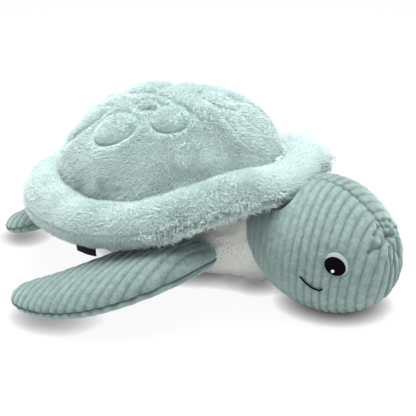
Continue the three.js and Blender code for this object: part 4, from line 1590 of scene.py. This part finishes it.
class TURTLE_OT_stage(bpy.types.Operator):
    """Makes the floor, the lamps, the world and the camera"""
    bl_idname = "turtle.stage"
    bl_label = "Stage"

    def execute(self, context):
        stage = context.scene.turtle_stage
        floor_material(stage.floor_colour, stage.floor_whiteness, stage.contact_reach)
        form = bmesh.new()
        bmesh.ops.create_grid(form, x_segments=1, y_segments=1, size=stage.floor_size / 2)
        floor = new_piece("floor", form, "floor")
        area_lamp("overhead", OVERHEAD_PLACE, OVERHEAD_TARGET, OVERHEAD_SIZE, stage.overhead_power)
        studio_world(stage.world_strength)
        data = bpy.data.cameras.new("camera")
        data.lens = stage.focal_length
        data.sensor_width = SENSOR_WIDTH
        camera = bpy.data.objects.new("camera", data)
        context.scene.collection.objects.link(camera)
        camera.location = stage.camera_place
        camera.rotation_euler = (math.pi / 2 - stage.camera_dip, 0, stage.camera_turn)
        context.scene.camera = camera
        context.scene.view_settings.view_transform = "Standard"
        return {"FINISHED"}


class TURTLE_PT_panel(bpy.types.Panel):
    """Buttons for the turtle's pieces"""
    bl_label = "Plush Turtle"
    bl_idname = "TURTLE_PT_panel"
    bl_space_type = "VIEW_3D"
    bl_region_type = "UI"
    bl_category = "Turtle"

    def draw(self, context):
        for operator in OPERATORS:
            self.layout.operator(operator.bl_idname)


SETTINGS = {
    "turtle_cloth": ClothSettings,
    "turtle_shell": ShellSettings,
    "turtle_belly": BellySettings,
    "turtle_head": HeadSettings,
    "turtle_face": FaceSettings,
    "turtle_front": FlipperSettings,
    "turtle_rear": FlipperSettings,
    "turtle_stage": StageSettings,
}

OPERATORS = (
    TURTLE_OT_stage,
    TURTLE_OT_materials,
    TURTLE_OT_dome,
    TURTLE_OT_rim,
    TURTLE_OT_belly,
    TURTLE_OT_head,
    TURTLE_OT_face,
    TURTLE_OT_flippers,
    TURTLE_OT_label,
    TURTLE_OT_tape,
)

# Sizes of the rear flippers where they differ from the front ones, in millimetres and degrees
REAR_LENGTHS = {
    "root_length": 17, "root_half_width": 22, "half_width": 32, "reach": 73,
    "root_half_thickness": 17, "tip_half_thickness": 18, "tip_height": 14,
    "corner_lift": 0, "corner_reach": 0,
}
REAR_ANGLES = {"heading": -172, "bend": 6}


def rear_sizes(rear):
    for name, value in REAR_LENGTHS.items():
        setattr(rear, name, value * MM)
    for name, value in REAR_ANGLES.items():
        setattr(rear, name, math.radians(value))
    rear.rings = 220


def register():
    for group in dict.fromkeys(SETTINGS.values()):
        bpy.utils.register_class(group)
    for name, group in SETTINGS.items():
        setattr(bpy.types.Scene, name, PointerProperty(type=group))
    for operator in OPERATORS:
        bpy.utils.register_class(operator)
    bpy.utils.register_class(TURTLE_PT_panel)


def unregister():
    bpy.utils.unregister_class(TURTLE_PT_panel)
    for operator in reversed(OPERATORS):
        bpy.utils.unregister_class(operator)
    for name in SETTINGS:
        delattr(bpy.types.Scene, name)
    for group in dict.fromkeys(SETTINGS.values()):
        bpy.utils.unregister_class(group)


def main():
    register()
    rear_sizes(bpy.context.scene.turtle_rear)
    for operator in OPERATORS:
        family, action = operator.bl_idname.split(".")
        getattr(getattr(bpy.ops, family), action)()


if __name__ == "__main__":
    main()
